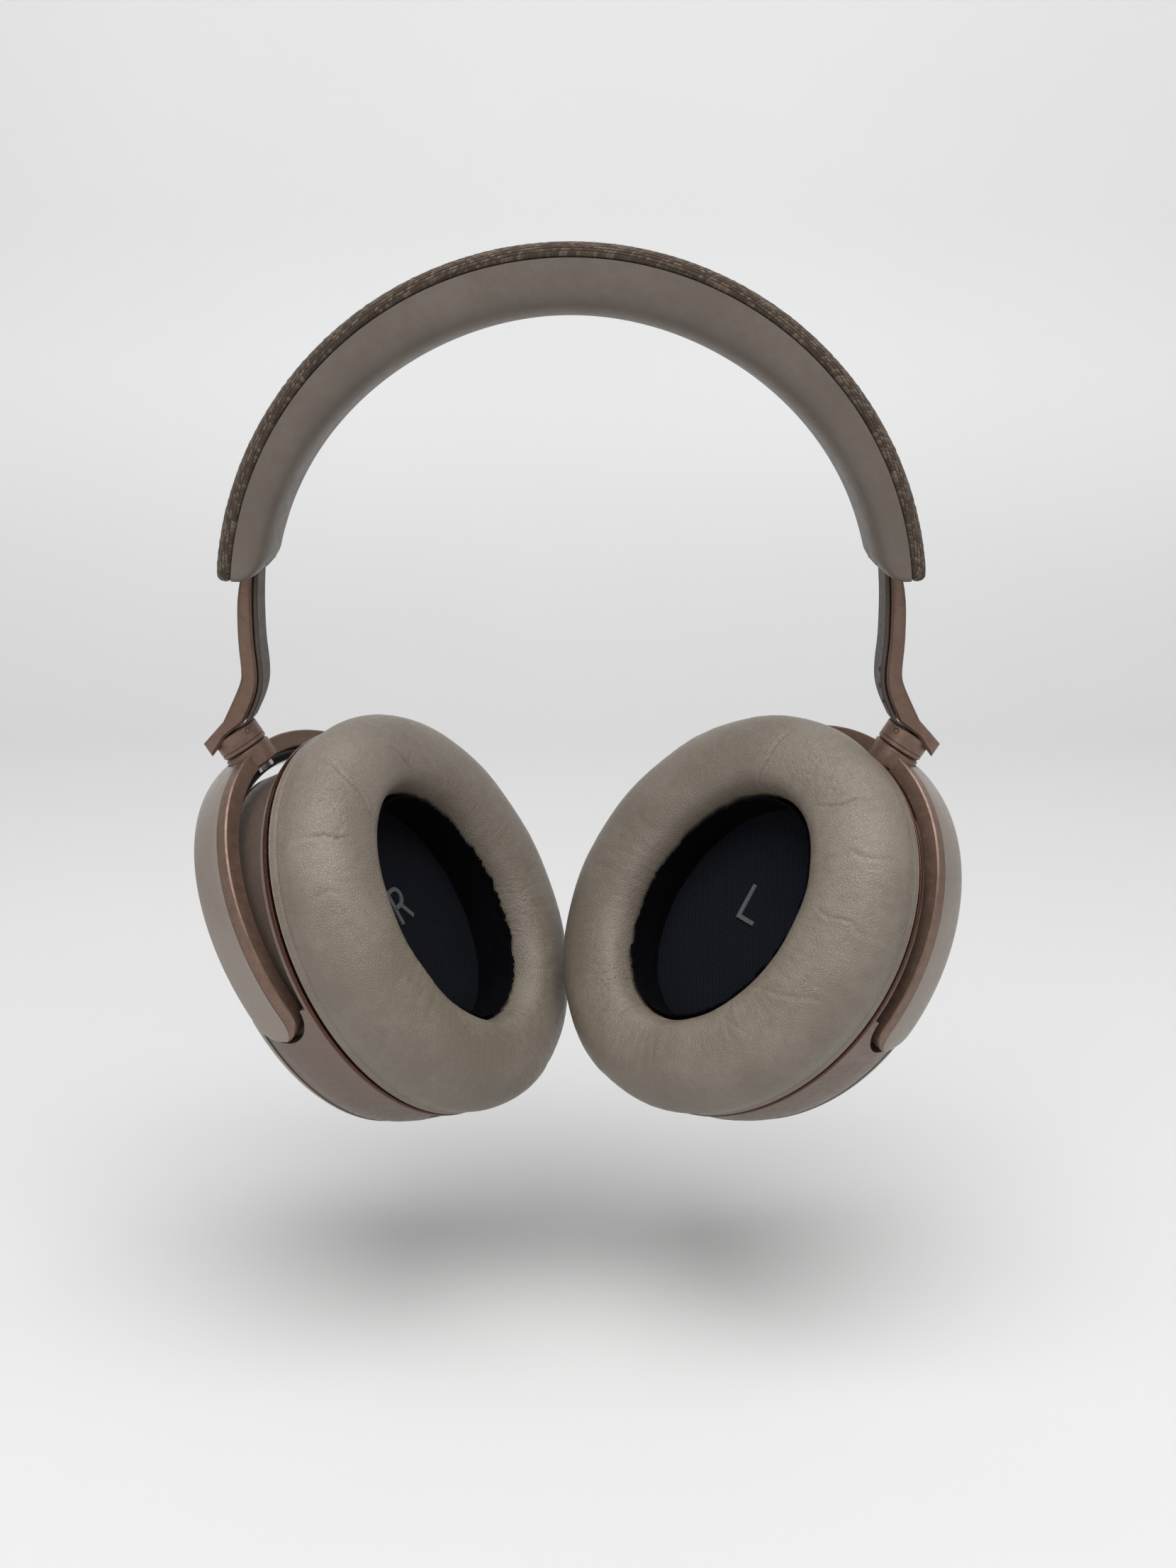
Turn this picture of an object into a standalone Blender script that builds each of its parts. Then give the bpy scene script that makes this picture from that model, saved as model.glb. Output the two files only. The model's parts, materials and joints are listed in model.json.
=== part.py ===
"""Over-ear wireless headphones, built piece by piece in metres with +Z up.

The wearer looks along -Y, so the right ear cup stands at -X and the left one at +X.
The origin is the middle of the headband pad's underside, where the headband rests on a head.
"""

import math

import bmesh
import bpy
from mathutils import Matrix, Vector

# ---- General clearances ----------------------------------------------------------------------
GAP = 0.0003  # between pieces that touch when assembled
RUNNING = 0.0003  # round a piece that moves

# ---- Headband: arcs about one centre line along Y, angles from the crown ---------------------
BAND_OUTER_RADIUS = 0.0812
BAND_HALF_ANGLE = math.radians(85.5)
CROWN_WIDTH = 0.037
END_WIDTH = 0.028
COVER_THICKNESS = 0.0033
SPRING_THICKNESS = 0.0010
SPRING_WIDTH = 0.019
SPRING_HALF_ANGLE = math.radians(60)
PAD_CROWN_THICKNESS = 0.0122
PAD_END_THICKNESS = 0.0076
PAD_EDGE_ROUND = 0.0036
PAD_FLAT_SHARE = 0.45
BED_SKIM = 0.0002  # the pad's top lies this much lower along its middle than at its edges
BED_STEP_ANGLE = 0.002
COVER_EDGE_ROUND = 0.0012
COVER_STATIONS = 33
SPRING_STATIONS = 21
PAD_STATIONS = 30  # an even number, so that a flat span lies across the crown

# ---- Sliding arms ----------------------------------------------------------------------------
SLIDE_LEAN = math.radians(9)  # the slide runs down and a little outwards
BLADE_THICKNESS = 0.0020
BLADE_WIDTH = 0.011
BLADE_TOP = 0.0280  # height above the band's centre of curvature
BLADE_BEND = 0.0094
BLADE_NOTCH = 0.0012  # the blade is this much narrower than its slot on each side
TANG_LENGTH = 0.0152
GUIDE_TOP = 0.0290
GUIDE_BOTTOM = 0.0098
GUIDE_WALL = 0.0008
MOUTH_CLEARANCE = 0.0009
MOUTH_DEPTH = 0.0020  # how far below the band's centre the mouth's cut starts
GUIDE_COVER = 0.0004  # the pad's thickness left inside the guide's foot
ARM_WIDTH = 0.012
ARM_TOP = 0.0062
ARM_INSET = 0.0054  # from the pad's outer side in to the arm's inner face
ARM_THICKNESS = 0.0052
ARM_INNER_BOW = 0.0005
ARM_TOP_TAPER = 0.0012
ARM_CHAMFER = 0.0009
ARM_COVER_THICKNESS = 0.0011
ARM_COVER_CHAMFER = 0.0003
ARM_COVER_MARGIN = 0.0004
DOT_RADIUS = 0.0007
DOT_HEIGHT = 0.0004
DOT_OFFSET = 0.0042  # in front of the arm's middle
DOT_PLACES = ((-0.0150, 0.0000), (-0.0188, 0.0001), (-0.0225, 0.0012))  # height, face offset

# ---- Swivel barrels --------------------------------------------------------------------------
HINGE_OUTWARDS = 0.0056  # from the arm's inner face out to the hinge
HINGE_Z = -0.0350  # below the band's centre of curvature
HINGE_CANT = math.radians(32.2)
BARREL_RADIUS = 0.0057
BARREL_UPPER = 0.0050
BARREL_LOWER = 0.0050
BARREL_SEGMENTS = 28
SWIVEL_PIN_RADIUS = 0.0022
SWIVEL_PIN_TOP = 0.0032
PIN_SEGMENTS = 16
SWIVEL_HEAD_RADIUS = 0.0036
SWIVEL_HEAD_HEIGHT = 0.0012

# ---- Ear cups: +Y down the cup, +Z towards the ear, +X across, from the tilt axis ------------
CUP_CENTRE = 0.0024
CUP_HALF_HEIGHT = 0.0504
CUP_HALF_WIDTH = 0.0454
CUSHION_BASE = 0.0114
CUSHION_DEPTH = 0.0188
OPENING_HALF_HEIGHT = 0.0293
OPENING_HALF_WIDTH = 0.0214
FRAME_THICKNESS = 0.0010
FRAME_SHARE = 0.86  # how far out the cushion's frame reaches, from its opening to its edge
SKIRT_WIDTH = 0.0009
LINER_THICKNESS = 0.0008
LINER_MARGIN = 0.0040
TRIM_THICKNESS = 0.0012
TRIM_WIDTH = 0.0024
TRIM_INSET = 0.0012
SHELL_INSET = 0.0019
SHELL_WALL = 0.0016
SHELL_BACK = -0.0075
SHELL_BACK_INSET = 0.0018
FLANGE_THICKNESS = 0.0010
SHELL_BOW = 0.0003
DOME_DEPTH = 0.0068
DOME_WALL = 0.0016
# Sections of the dome and of the cushion, as (share of the half size, share of the depth)
DOME_OUTSIDE = ((1.0, 0.0), (0.965, 0.30), (0.88, 0.60), (0.72, 0.83), (0.48, 0.96), (0.15, 1.0))
DOME_INSIDE = ((0.25, 1.0), (0.72, 0.80), (0.93, 0.42), (1.0, 0.0))
CUSHION_SECTION = (
    (0.02, 0.30),
    (0.00, 0.55),
    (0.05, 0.80),
    (0.18, 0.95),
    (0.38, 1.00),
    (0.60, 0.97),
    (0.80, 0.86),
    (0.94, 0.67),
    (1.00, 0.44),
    (0.97, 0.20),
)
CUP_SEGMENTS = 40

# ---- Yokes -----------------------------------------------------------------------------------
YOKE_THICKNESS = 0.0041
YOKE_SIDE_GAP = 0.0010  # between the cup's recessed wall and each yoke arm
YOKE_TOP_GAP = 0.0046  # between the cup's recessed wall and the yoke's crown
YOKE_CROWN_DROP = 0.0051  # from the barrel's seam down to the crown's inner side
YOKE_CROWN_INSET = 0.0014  # the crown's inner side lies this far inside the cushion's outline
YOKE_SIDE_INSET = 0.0051
YOKE_EAR_EDGE = 0.0050
YOKE_CROWN_EAR_EDGE = 0.0036
YOKE_BACK_EDGE = -0.0066
YOKE_CROWN_BACK_EDGE = -0.0088
YOKE_EDGE_WIDTH = 0.0030
YOKE_SKIN = 0.0014
YOKE_CHAMFER = 0.0007
YOKE_BACK_STEP = 0.0009  # the frame stops this much short of its cover's back edge
TIP_STATIONS = (73, 55, 38, 20)  # degrees round each tip
YOKE_STATIONS = 29
TILT_PIN_RADIUS = 0.0016
TILT_PIN_REACH = 0.0024

# ---- What a cup holds ------------------------------------------------------------------------
DRIVER_RADIUS = 0.0200
DRIVER_DEPTH = 0.0060
DRIVER_LIP = 0.0020
DRIVER_SEGMENTS = 24
BAFFLE_LIP = 0.0015
MAGNET_RADIUS = 0.0095
MAGNET_DEPTH = 0.0040
BOARD = (0.026, 0.034)
BOARD_THICKNESS = 0.0010
BOARD_TOP = -0.0059
BATTERY_SIZE = (0.022, 0.014, 0.0034)
BATTERY_ROUND = 0.0008
BATTERY_OFFSET = 0.0245  # above the cup's centre
USB_SIZE = (0.0090, 0.0032, 0.0068)
USB_WALL = 0.0004
USB_ROUND = 0.0010
USB_PLACE = 8  # degrees from the cup's lowest point, as for the buttons
BUTTON_SIZE = (0.0072, 0.0036, 0.0040)
BUTTON_ROUND = 0.0005
BUTTON_STAND_OUT = 0.0008
BUTTON_DEPTH = 0.0004
BUTTON_PLACES = (
    ("volume_up_button", 62),
    ("play_button", 50),
    ("volume_down_button", 38),
    ("power_button", 24),
)
NOISE_BUTTON_PLACE = 50
MIC_SIZE = (0.0056, 0.0011, 0.0012)
MIC_PLACE = 29
MIC_DEPTH = 0.0062
LENS_RADIUS = 0.0006
LENS_LENGTH = 0.0020
LENS_PLACE = 16.5

# ---- Rest pose of each side ------------------------------------------------------------------
SIDES = {
    "right": {"sign": -1, "swivel": math.radians(26.0), "tilt": math.radians(4.5)},
    "left": {"sign": 1, "swivel": math.radians(40.2), "tilt": math.radians(-4.2)},
}

# ---- Finishes: colour, roughness, metallic ---------------------------------------------------
FINISHES = {
    "fabric": ((0.115, 0.085, 0.066), 0.95, 0.0),
    "leather": ((0.205, 0.170, 0.140), 0.55, 0.0),
    "liner": ((0.012, 0.014, 0.022), 0.95, 0.0),
    "copper": ((0.230, 0.110, 0.070), 0.35, 0.9),
    "copper_shell": ((0.085, 0.042, 0.028), 0.45, 0.2),
    "satin_shell": ((0.235, 0.200, 0.175), 0.50, 0.1),
    "steel": ((0.450, 0.440, 0.430), 0.30, 1.0),
    "black_plastic": ((0.015, 0.015, 0.016), 0.40, 0.0),
    "magnet": ((0.300, 0.290, 0.280), 0.35, 1.0),
    "board": ((0.020, 0.120, 0.050), 0.50, 0.0),
    "battery": ((0.120, 0.130, 0.150), 0.35, 0.4),
    "lens": ((0.700, 0.700, 0.680), 0.20, 0.0),
}

# ---- Sizes worked out from the ones above ----------------------------------------------------
COVER_INNER_RADIUS = BAND_OUTER_RADIUS - COVER_THICKNESS
PAD_OUTER_RADIUS = COVER_INNER_RADIUS - GAP
SPRING_OUTER_RADIUS = COVER_INNER_RADIUS - GAP
SPRING_BED_RADIUS = SPRING_OUTER_RADIUS - SPRING_THICKNESS - GAP
SLIDE_TAN = math.tan(SLIDE_LEAN)
ARM_INNER_FACE = PAD_OUTER_RADIUS - ARM_INSET  # distance from the middle plane
ARM_OUTER_FACE = ARM_INNER_FACE + ARM_THICKNESS
HINGE_X = ARM_INNER_FACE + HINGE_OUTWARDS
YOKE_INNER_HALF_HEIGHT = CUP_HALF_HEIGHT - YOKE_CROWN_INSET
YOKE_INNER_HALF_WIDTH = CUP_HALF_WIDTH - YOKE_SIDE_INSET
PIVOT_DROP = YOKE_INNER_HALF_HEIGHT + YOKE_CROWN_DROP - CUP_CENTRE  # from the seam to the tilt axis
FRAME_TOP = CUSHION_BASE + FRAME_THICKNESS
CUSHION_UNDERSIDE = FRAME_TOP + GAP
TRIM_TOP = CUSHION_BASE - GAP
TRIM_BASE = TRIM_TOP - TRIM_THICKNESS
FLANGE_TOP = TRIM_BASE - GAP
FLANGE_BASE = FLANGE_TOP - FLANGE_THICKNESS
CUP = (CUP_HALF_WIDTH, CUP_HALF_HEIGHT)
OPENING = (OPENING_HALF_WIDTH, OPENING_HALF_HEIGHT)
SHELL = (CUP_HALF_WIDTH - SHELL_INSET, CUP_HALF_HEIGHT - SHELL_INSET)
SHELL_BACK_EDGE = (SHELL[0] - SHELL_BACK_INSET, SHELL[1] - SHELL_BACK_INSET)
RECESS = (YOKE_INNER_HALF_WIDTH - YOKE_SIDE_GAP, YOKE_INNER_HALF_HEIGHT - YOKE_TOP_GAP)
CAVITY = (RECESS[0] - SHELL_WALL, RECESS[1] - SHELL_WALL)
TIP_RADIUS = (YOKE_EAR_EDGE - YOKE_BACK_EDGE) / 2
TIP_MIDDLE = (YOKE_EAR_EDGE + YOKE_BACK_EDGE) / 2
TILT_PIN_START = RECESS[0] - SHELL_WALL - TILT_PIN_REACH
TILT_PIN_END = YOKE_INNER_HALF_WIDTH + YOKE_THICKNESS - YOKE_SKIN - GAP / 2
DRIVER_FRONT = TRIM_BASE - GAP
DRIVER_BACK = DRIVER_FRONT - DRIVER_DEPTH


# ---- Scene helpers ---------------------------------------------------------------------------
def clear_scene():
    """Removes every object of the startup scene."""
    for old in list(bpy.data.objects):
        bpy.data.objects.remove(old, do_unlink=True)


def make_material(name):
    """A Principled material from the table of finishes."""
    colour, roughness, metallic = FINISHES[name]
    made = bpy.data.materials.new(name)
    made.use_nodes = True
    shader = made.node_tree.nodes["Principled BSDF"]
    shader.inputs["Base Color"].default_value = (*colour, 1.0)
    shader.inputs["Roughness"].default_value = roughness
    shader.inputs["Metallic"].default_value = metallic
    made.diffuse_color = (*colour, 1.0)
    return made


def add_frame(name, matrix, parent=None):
    """An empty that carries the pieces of one moving body."""
    frame = bpy.data.objects.new(name, None)
    frame.empty_display_size = 0.01
    bpy.context.scene.collection.objects.link(frame)
    frame.parent = parent
    frame.matrix_basis = matrix
    return frame


def add_object(name, mesh_data, finish, parent):
    """A solid from a bmesh, with its normals facing out and its material on."""
    bmesh.ops.recalc_face_normals(mesh_data, faces=mesh_data.faces)
    mesh = bpy.data.meshes.new(name)
    mesh_data.to_mesh(mesh)
    mesh_data.free()
    mesh.shade_smooth()
    mesh.set_sharp_from_angle(angle=math.radians(35))
    made = bpy.data.objects.new(name, mesh)
    bpy.context.scene.collection.objects.link(made)
    made.parent = parent
    if finish:
        mesh.materials.append(MATERIALS[finish])
    return made


def add_boolean(target, other, operation):
    """An exact Boolean that keeps its hidden helper object."""
    step = target.modifiers.new(f"{operation.lower()} {other.name}", "BOOLEAN")
    step.operation = operation
    step.solver = "EXACT"
    step.object = other
    other.hide_render = True
    other.display_type = "WIRE"


def cut(target, *cutters):
    for cutter in cutters:
        add_boolean(target, cutter, "DIFFERENCE")


def join(target, *additions):
    for addition in additions:
        add_boolean(target, addition, "UNION")


# ---- Shapes ----------------------------------------------------------------------------------
def loft(rings, closed=False):
    """A skin through rings of equal point count, with caps unless it closes on itself."""
    shape = bmesh.new()
    levels = [[shape.verts.new(point) for point in ring] for ring in rings]
    count = len(rings[0])
    spans = len(levels) if closed else len(levels) - 1
    for i in range(spans):
        low, high = levels[i], levels[(i + 1) % len(levels)]
        for j in range(count):
            k = (j + 1) % count
            shape.faces.new((low[j], low[k], high[k], high[j]))
    if not closed:
        shape.faces.new(levels[0])
        shape.faces.new(list(reversed(levels[-1])))
    return shape


def ellipse(halves, z, count=CUP_SEGMENTS):
    """A ring of points on an ellipse about a cup's centre, given as (half width, half height)."""
    half_width, half_height = halves
    turn = 2 * math.pi / count
    return [
        Vector((half_width * math.sin(i * turn), CUP_CENTRE + half_height * math.cos(i * turn), z))
        for i in range(count)
    ]


def inset(halves, distance):
    """An ellipse's half sizes, made smaller all round."""
    return halves[0] - distance, halves[1] - distance


def scaled(halves, share):
    return halves[0] * share, halves[1] * share


def oval_ring(outer, inner, low, high):
    """An annular plate between two ellipses, each given as (half width, half height)."""
    return loft(
        [ellipse(outer, low), ellipse(outer, high), ellipse(inner, high), ellipse(inner, low)],
        closed=True,
    )


def turned(profile, count=32, matrix=None):
    """A closed solid of revolution about Z. Its (radius, height) points start and end on the axis."""
    shape = bmesh.new()
    turn = 2 * math.pi / count
    first = shape.verts.new((0, 0, profile[0][1]))
    last = shape.verts.new((0, 0, profile[-1][1]))
    levels = []
    for radius, height in profile[1:-1]:
        ring = [(radius * math.cos(i * turn), radius * math.sin(i * turn), height) for i in range(count)]
        levels.append([shape.verts.new(point) for point in ring])
    for j in range(count):
        k = (j + 1) % count
        shape.faces.new((first, levels[0][k], levels[0][j]))
        shape.faces.new((last, levels[-1][j], levels[-1][k]))
        for low, high in zip(levels, levels[1:]):
            shape.faces.new((low[j], low[k], high[k], high[j]))
    if matrix:
        shape.transform(matrix)
    return shape


def rod(radius, low, high):
    """The profile of a plain round rod, for turned()."""
    return [(0, low), (radius, low), (radius, high), (0, high)]


def slab(size, matrix=None, bevel=0.0):
    """A box of the given size about the origin, with bevelled edges if asked."""
    shape = bmesh.new()
    bmesh.ops.create_cube(shape, size=1.0)
    bmesh.ops.scale(shape, vec=size, verts=shape.verts)
    if bevel:
        bmesh.ops.bevel(
            shape, geom=shape.edges[:], offset=bevel, segments=2, profile=0.5, affect="EDGES"
        )
    if matrix:
        shape.transform(matrix)
    return shape


def prism(outline, half_width, chamfer=0.0):
    """An outline of (x, z) points extruded across Y, with its long edges chamfered if asked."""
    if not chamfer:
        return loft([[Vector((x, y, z)) for x, z in outline] for y in (-half_width, half_width)])
    shrunk = inset_outline(outline, chamfer)
    return loft(
        [
            [Vector((x, -half_width, z)) for x, z in shrunk],
            [Vector((x, -half_width + chamfer, z)) for x, z in outline],
            [Vector((x, half_width - chamfer, z)) for x, z in outline],
            [Vector((x, half_width, z)) for x, z in shrunk],
        ]
    )


def inset_outline(outline, distance):
    """The closed outline moved inwards by a distance."""
    area = sum(a[0] * b[1] - b[0] * a[1] for a, b in zip(outline, outline[1:] + outline[:1]))
    turn = 1 if area > 0 else -1
    moved = []
    for before, here, after in zip(outline[-1:] + outline[:-1], outline, outline[1:] + outline[:1]):
        first = Vector((here[0] - before[0], here[1] - before[1])).normalized()
        second = Vector((after[0] - here[0], after[1] - here[1])).normalized()
        normal_a = Vector((-first.y, first.x)) * turn
        normal_b = Vector((-second.y, second.x)) * turn
        corner = (normal_a + normal_b) / max(0.4, 1 + normal_a.dot(normal_b))
        moved.append((here[0] + corner.x * distance, here[1] + corner.y * distance))
    return moved


# ---- Headband --------------------------------------------------------------------------------
def band_point(angle, y, radius):
    return Vector((radius * math.sin(angle), y, radius * math.cos(angle)))


def band_width(angle):
    """The band is widest at the crown and narrows towards its ends."""
    share = abs(angle) / BAND_HALF_ANGLE
    return CROWN_WIDTH + (END_WIDTH - CROWN_WIDTH) * share**1.6


def pad_thickness(angle):
    share = math.sin(angle) ** 2
    return PAD_CROWN_THICKNESS + (PAD_END_THICKNESS - PAD_CROWN_THICKNESS) * share**1.5


def spread(low, high, count):
    return [low + (high - low) * i / (count - 1) for i in range(count)]


def build_cover(parent):
    """The woven outer cover: a strip with rounded long edges."""
    rings = []
    edge = COVER_EDGE_ROUND
    for angle in spread(-BAND_HALF_ANGLE, BAND_HALF_ANGLE, COVER_STATIONS):
        half = band_width(angle) / 2
        outline = [
            (-half + edge, COVER_INNER_RADIUS),
            (-half, COVER_INNER_RADIUS + edge),
            (-half, BAND_OUTER_RADIUS - edge),
            (-half + edge, BAND_OUTER_RADIUS),
            (half - edge, BAND_OUTER_RADIUS),
            (half, BAND_OUTER_RADIUS - edge),
            (half, COVER_INNER_RADIUS + edge),
            (half - edge, COVER_INNER_RADIUS),
        ]
        rings.append([band_point(angle, y, radius) for y, radius in outline])
    add_object("headband_cover", loft(rings), "fabric", parent)


def build_spring(parent):
    """The steel strip that gives the band its clamping force."""
    rings = []
    half = SPRING_WIDTH / 2
    low = SPRING_OUTER_RADIUS - SPRING_THICKNESS
    outline = [(-half, low), (-half, SPRING_OUTER_RADIUS), (half, SPRING_OUTER_RADIUS), (half, low)]
    for angle in spread(-SPRING_HALF_ANGLE, SPRING_HALF_ANGLE, SPRING_STATIONS):
        rings.append([band_point(angle, y, radius) for y, radius in outline])
    add_object("headband_spring", loft(rings), "steel", parent)


def pad_outline(angle, bed_radius):
    """The pad's section as (y, radius): a flat middle, rounded edges and a bed for the spring."""
    half = band_width(angle) / 2
    thickness = pad_thickness(angle)
    lowest = PAD_OUTER_RADIUS - thickness
    edge = min(PAD_EDGE_ROUND, thickness / 2)
    flat = half * PAD_FLAT_SHARE
    bed = SPRING_WIDTH / 2 + GAP
    side = [
        (bed, PAD_OUTER_RADIUS),
        (half, PAD_OUTER_RADIUS),
        (half, lowest + thickness * 0.55),
        (half - edge * 0.25, lowest + edge * 0.9),
        (half - edge, lowest + edge * 0.3),
        (flat, lowest),
    ]
    underside = [(-y, radius) for y, radius in side] + list(reversed(side))
    return underside + [(bed, bed_radius), (-bed, bed_radius)]


def build_pad(parent):
    """The leather pad under the band: flat across the crown's middle, rounded along its edges."""
    rings = []
    bed_angle = SPRING_HALF_ANGLE + GAP / SPRING_OUTER_RADIUS
    stations = spread(-BAND_HALF_ANGLE, BAND_HALF_ANGLE, PAD_STATIONS)
    stations += [-bed_angle - BED_STEP_ANGLE, -bed_angle, bed_angle, bed_angle + BED_STEP_ANGLE]
    for angle in sorted(stations):
        beyond = abs(angle) > bed_angle
        bed_radius = PAD_OUTER_RADIUS - BED_SKIM if beyond else SPRING_BED_RADIUS
        rings.append([band_point(angle, y, radius) for y, radius in pad_outline(angle, bed_radius)])
    pad = add_object("headband_pad", loft(rings), "leather", parent)
    for side in SIDES:
        cut(pad, *guide_pocket(side, parent))


def crown_height():
    """The crown facet's height over the band's centre of curvature."""
    half_step = BAND_HALF_ANGLE / (PAD_STATIONS - 1)
    return (PAD_OUTER_RADIUS - pad_thickness(half_step)) * math.cos(half_step)


def slide_x(z):
    """The blade's middle at a height over the band's centre."""
    return slide_x_at_guide() - (z - GUIDE_BOTTOM) * SLIDE_TAN


def slide_x_at_guide():
    """Where the blade leaves its guide, just behind the pad's inner face."""
    inner_radius = PAD_OUTER_RADIUS - PAD_END_THICKNESS
    inner_x = math.sqrt(inner_radius**2 - GUIDE_BOTTOM**2)
    return inner_x + GUIDE_COVER + GAP + GUIDE_WALL + RUNNING + BLADE_THICKNESS / 2


def slide_outline(reach, low, high):
    """A slanted strip round the blade's path in the XZ plane, reaching to each side of its middle."""
    return [
        (slide_x(low) - reach, low),
        (slide_x(low) + reach, low),
        (slide_x(high) + reach, high),
        (slide_x(high) - reach, high),
    ]


def mirrored(outline, sign):
    return [(sign * x, z) for x, z in outline]


def guide_pocket(side, parent):
    """Cutters for the guide's pocket and for the mouth that the arm stands in."""
    sign = SIDES[side]["sign"]
    reach = BLADE_THICKNESS / 2 + RUNNING + GUIDE_WALL + GAP
    half = BLADE_WIDTH / 2 + RUNNING + GUIDE_WALL + GAP
    tunnel = prism(mirrored(slide_outline(reach, 0.0, GUIDE_TOP + GAP), sign), half)
    roof = GUIDE_BOTTOM - 2 * GAP
    outside = PAD_OUTER_RADIUS + COVER_THICKNESS
    mouth = [
        (ARM_INNER_FACE - MOUTH_CLEARANCE, -MOUTH_DEPTH),
        (outside, -MOUTH_DEPTH),
        (outside, roof),
        (slide_x(GUIDE_BOTTOM) - BLADE_THICKNESS / 2 - MOUTH_CLEARANCE, roof),
    ]
    room = prism(mirrored(mouth, sign), ARM_WIDTH / 2 + 2 * RUNNING)
    return (
        add_object(f"guide_tunnel_cutter_{side}", tunnel, None, parent),
        add_object(f"mouth_cutter_{side}", room, None, parent),
    )


def build_guide(side, sign, parent):
    """The plastic sleeve that the sliding blade runs in."""
    half = BLADE_WIDTH / 2 + RUNNING
    reach = BLADE_THICKNESS / 2 + RUNNING
    sleeve = mirrored(slide_outline(reach + GUIDE_WALL, GUIDE_BOTTOM, GUIDE_TOP), sign)
    outer = prism(sleeve, half + GUIDE_WALL)
    guide = add_object(f"slider_guide_{side}", outer, "black_plastic", parent)
    past = GUIDE_WALL * 4
    slot = prism(mirrored(slide_outline(reach, GUIDE_BOTTOM - past, GUIDE_TOP + past), sign), half)
    cut(guide, add_object(f"guide_slot_cutter_{side}", slot, None, parent))


# ---- Sliding arm -----------------------------------------------------------------------------
def arm_edges():
    """The arm's outer and inner edges from the band's mouth down to the barrel, as (x, z)."""
    outer = [
        (ARM_OUTER_FACE - ARM_TOP_TAPER, ARM_TOP),
        (ARM_OUTER_FACE, 0.0010),
        (ARM_OUTER_FACE + 0.0002, -0.0080),
        (ARM_OUTER_FACE - 0.0002, -0.0150),
        (ARM_OUTER_FACE + 0.0001, -0.0180),
        (ARM_OUTER_FACE + 0.0018, -0.0220),
        (ARM_OUTER_FACE + 0.0045, -0.0275),
    ]
    inner = [
        (ARM_INNER_FACE, ARM_TOP),
        (ARM_INNER_FACE + ARM_INNER_BOW, 0.0010),
        (ARM_INNER_FACE + ARM_INNER_BOW, -0.0080),
        (ARM_INNER_FACE, -0.0145),
        (ARM_INNER_FACE + 0.0001, -0.0188),
        (ARM_INNER_FACE + 0.0012, -0.0228),
        (ARM_INNER_FACE + 0.0034, -0.0275),
    ]
    return outer, inner


def barrel_point(t, across=0.0):
    """A point (x, z) at a height t above the seam on the barrel's axis, moved outwards across it."""
    x = HINGE_X + t * math.sin(HINGE_CANT) + across * math.cos(HINGE_CANT)
    z = HINGE_Z + t * math.cos(HINGE_CANT) - across * math.sin(HINGE_CANT)
    return x, z


def barrel_matrix(sign, t=0.0):
    """Places a piece turned about Z on the barrel's axis, its +Z pointing up the barrel."""
    x, z = barrel_point(t)
    return Matrix.Translation((sign * x, 0, z)) @ Matrix.Rotation(sign * HINGE_CANT, 4, "Y")


def arm_local(sign):
    """Brings band coordinates into the sliding arm's own frame."""
    return Matrix.Translation((-sign * ARM_INNER_FACE, 0, -ARM_TOP))


def build_arm(side, sign, parent):
    """The metal arm, its half of the barrel, and what is fixed to it."""
    local = arm_local(sign)
    outer, inner = arm_edges()
    foot = [
        barrel_point(0.0072, 0.0066),
        barrel_point(0.0016, 0.0066),
        barrel_point(0.0016, -0.0040),
        barrel_point(0.0046, -0.0050),
    ]
    seat = [(x + ARM_COVER_THICKNESS + GAP, z) for x, z in reversed(inner)]
    shape = prism(mirrored(outer + foot + seat, sign), ARM_WIDTH / 2, ARM_CHAMFER)
    shape.transform(local)
    arm = add_object(f"arm_shell_{side}", shape, "copper", parent)
    barrel = local @ barrel_matrix(sign)
    hub = turned(rod(BARREL_RADIUS, GAP / 2, BARREL_UPPER), BARREL_SEGMENTS, barrel)
    join(arm, add_object(f"hub_addition_{side}", hub, None, parent))
    hole = turned(rod(SWIVEL_PIN_RADIUS + GAP, -BARREL_UPPER, SWIVEL_PIN_TOP + GAP), PIN_SEGMENTS, barrel)
    tang_x = ARM_INNER_FACE + ARM_INNER_BOW + ARM_COVER_THICKNESS + 2 * GAP + BLADE_THICKNESS / 2
    back = tang_x + BLADE_THICKNESS / 2 + GAP
    floor = ARM_TOP - TANG_LENGTH - GAP
    above = ARM_TOP + MOUTH_DEPTH
    inside = ARM_INNER_FACE - MOUTH_DEPTH
    pocket = prism(
        mirrored([(inside, floor), (back, floor), (back, above), (inside, above)], sign),
        BLADE_WIDTH / 2 - BLADE_NOTCH + GAP,
    )
    pocket.transform(local)
    cut(
        arm,
        add_object(f"swivel_bore_cutter_{side}", hole, None, parent),
        add_object(f"tang_pocket_cutter_{side}", pocket, None, parent),
    )
    build_blade(side, sign, parent, tang_x)
    build_arm_cover(side, sign, parent, inner)


def build_blade(side, sign, parent, tang_x):
    """The steel blade: straight in the guide, cranked at the mouth, its tang in the arm's pocket."""
    half = BLADE_THICKNESS / 2
    middle = [
        (slide_x(BLADE_TOP), BLADE_TOP),
        (slide_x(BLADE_BEND), BLADE_BEND),
        (tang_x, ARM_TOP + 2 * GAP),
        (tang_x, ARM_TOP - TANG_LENGTH),
    ]
    outline = [(x + half, z) for x, z in middle] + [(x - half, z) for x, z in reversed(middle)]
    shape = prism(mirrored(outline, sign), BLADE_WIDTH / 2 - BLADE_NOTCH)
    shape.transform(arm_local(sign))
    add_object(f"slider_blade_{side}", shape, "steel", parent)


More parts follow.
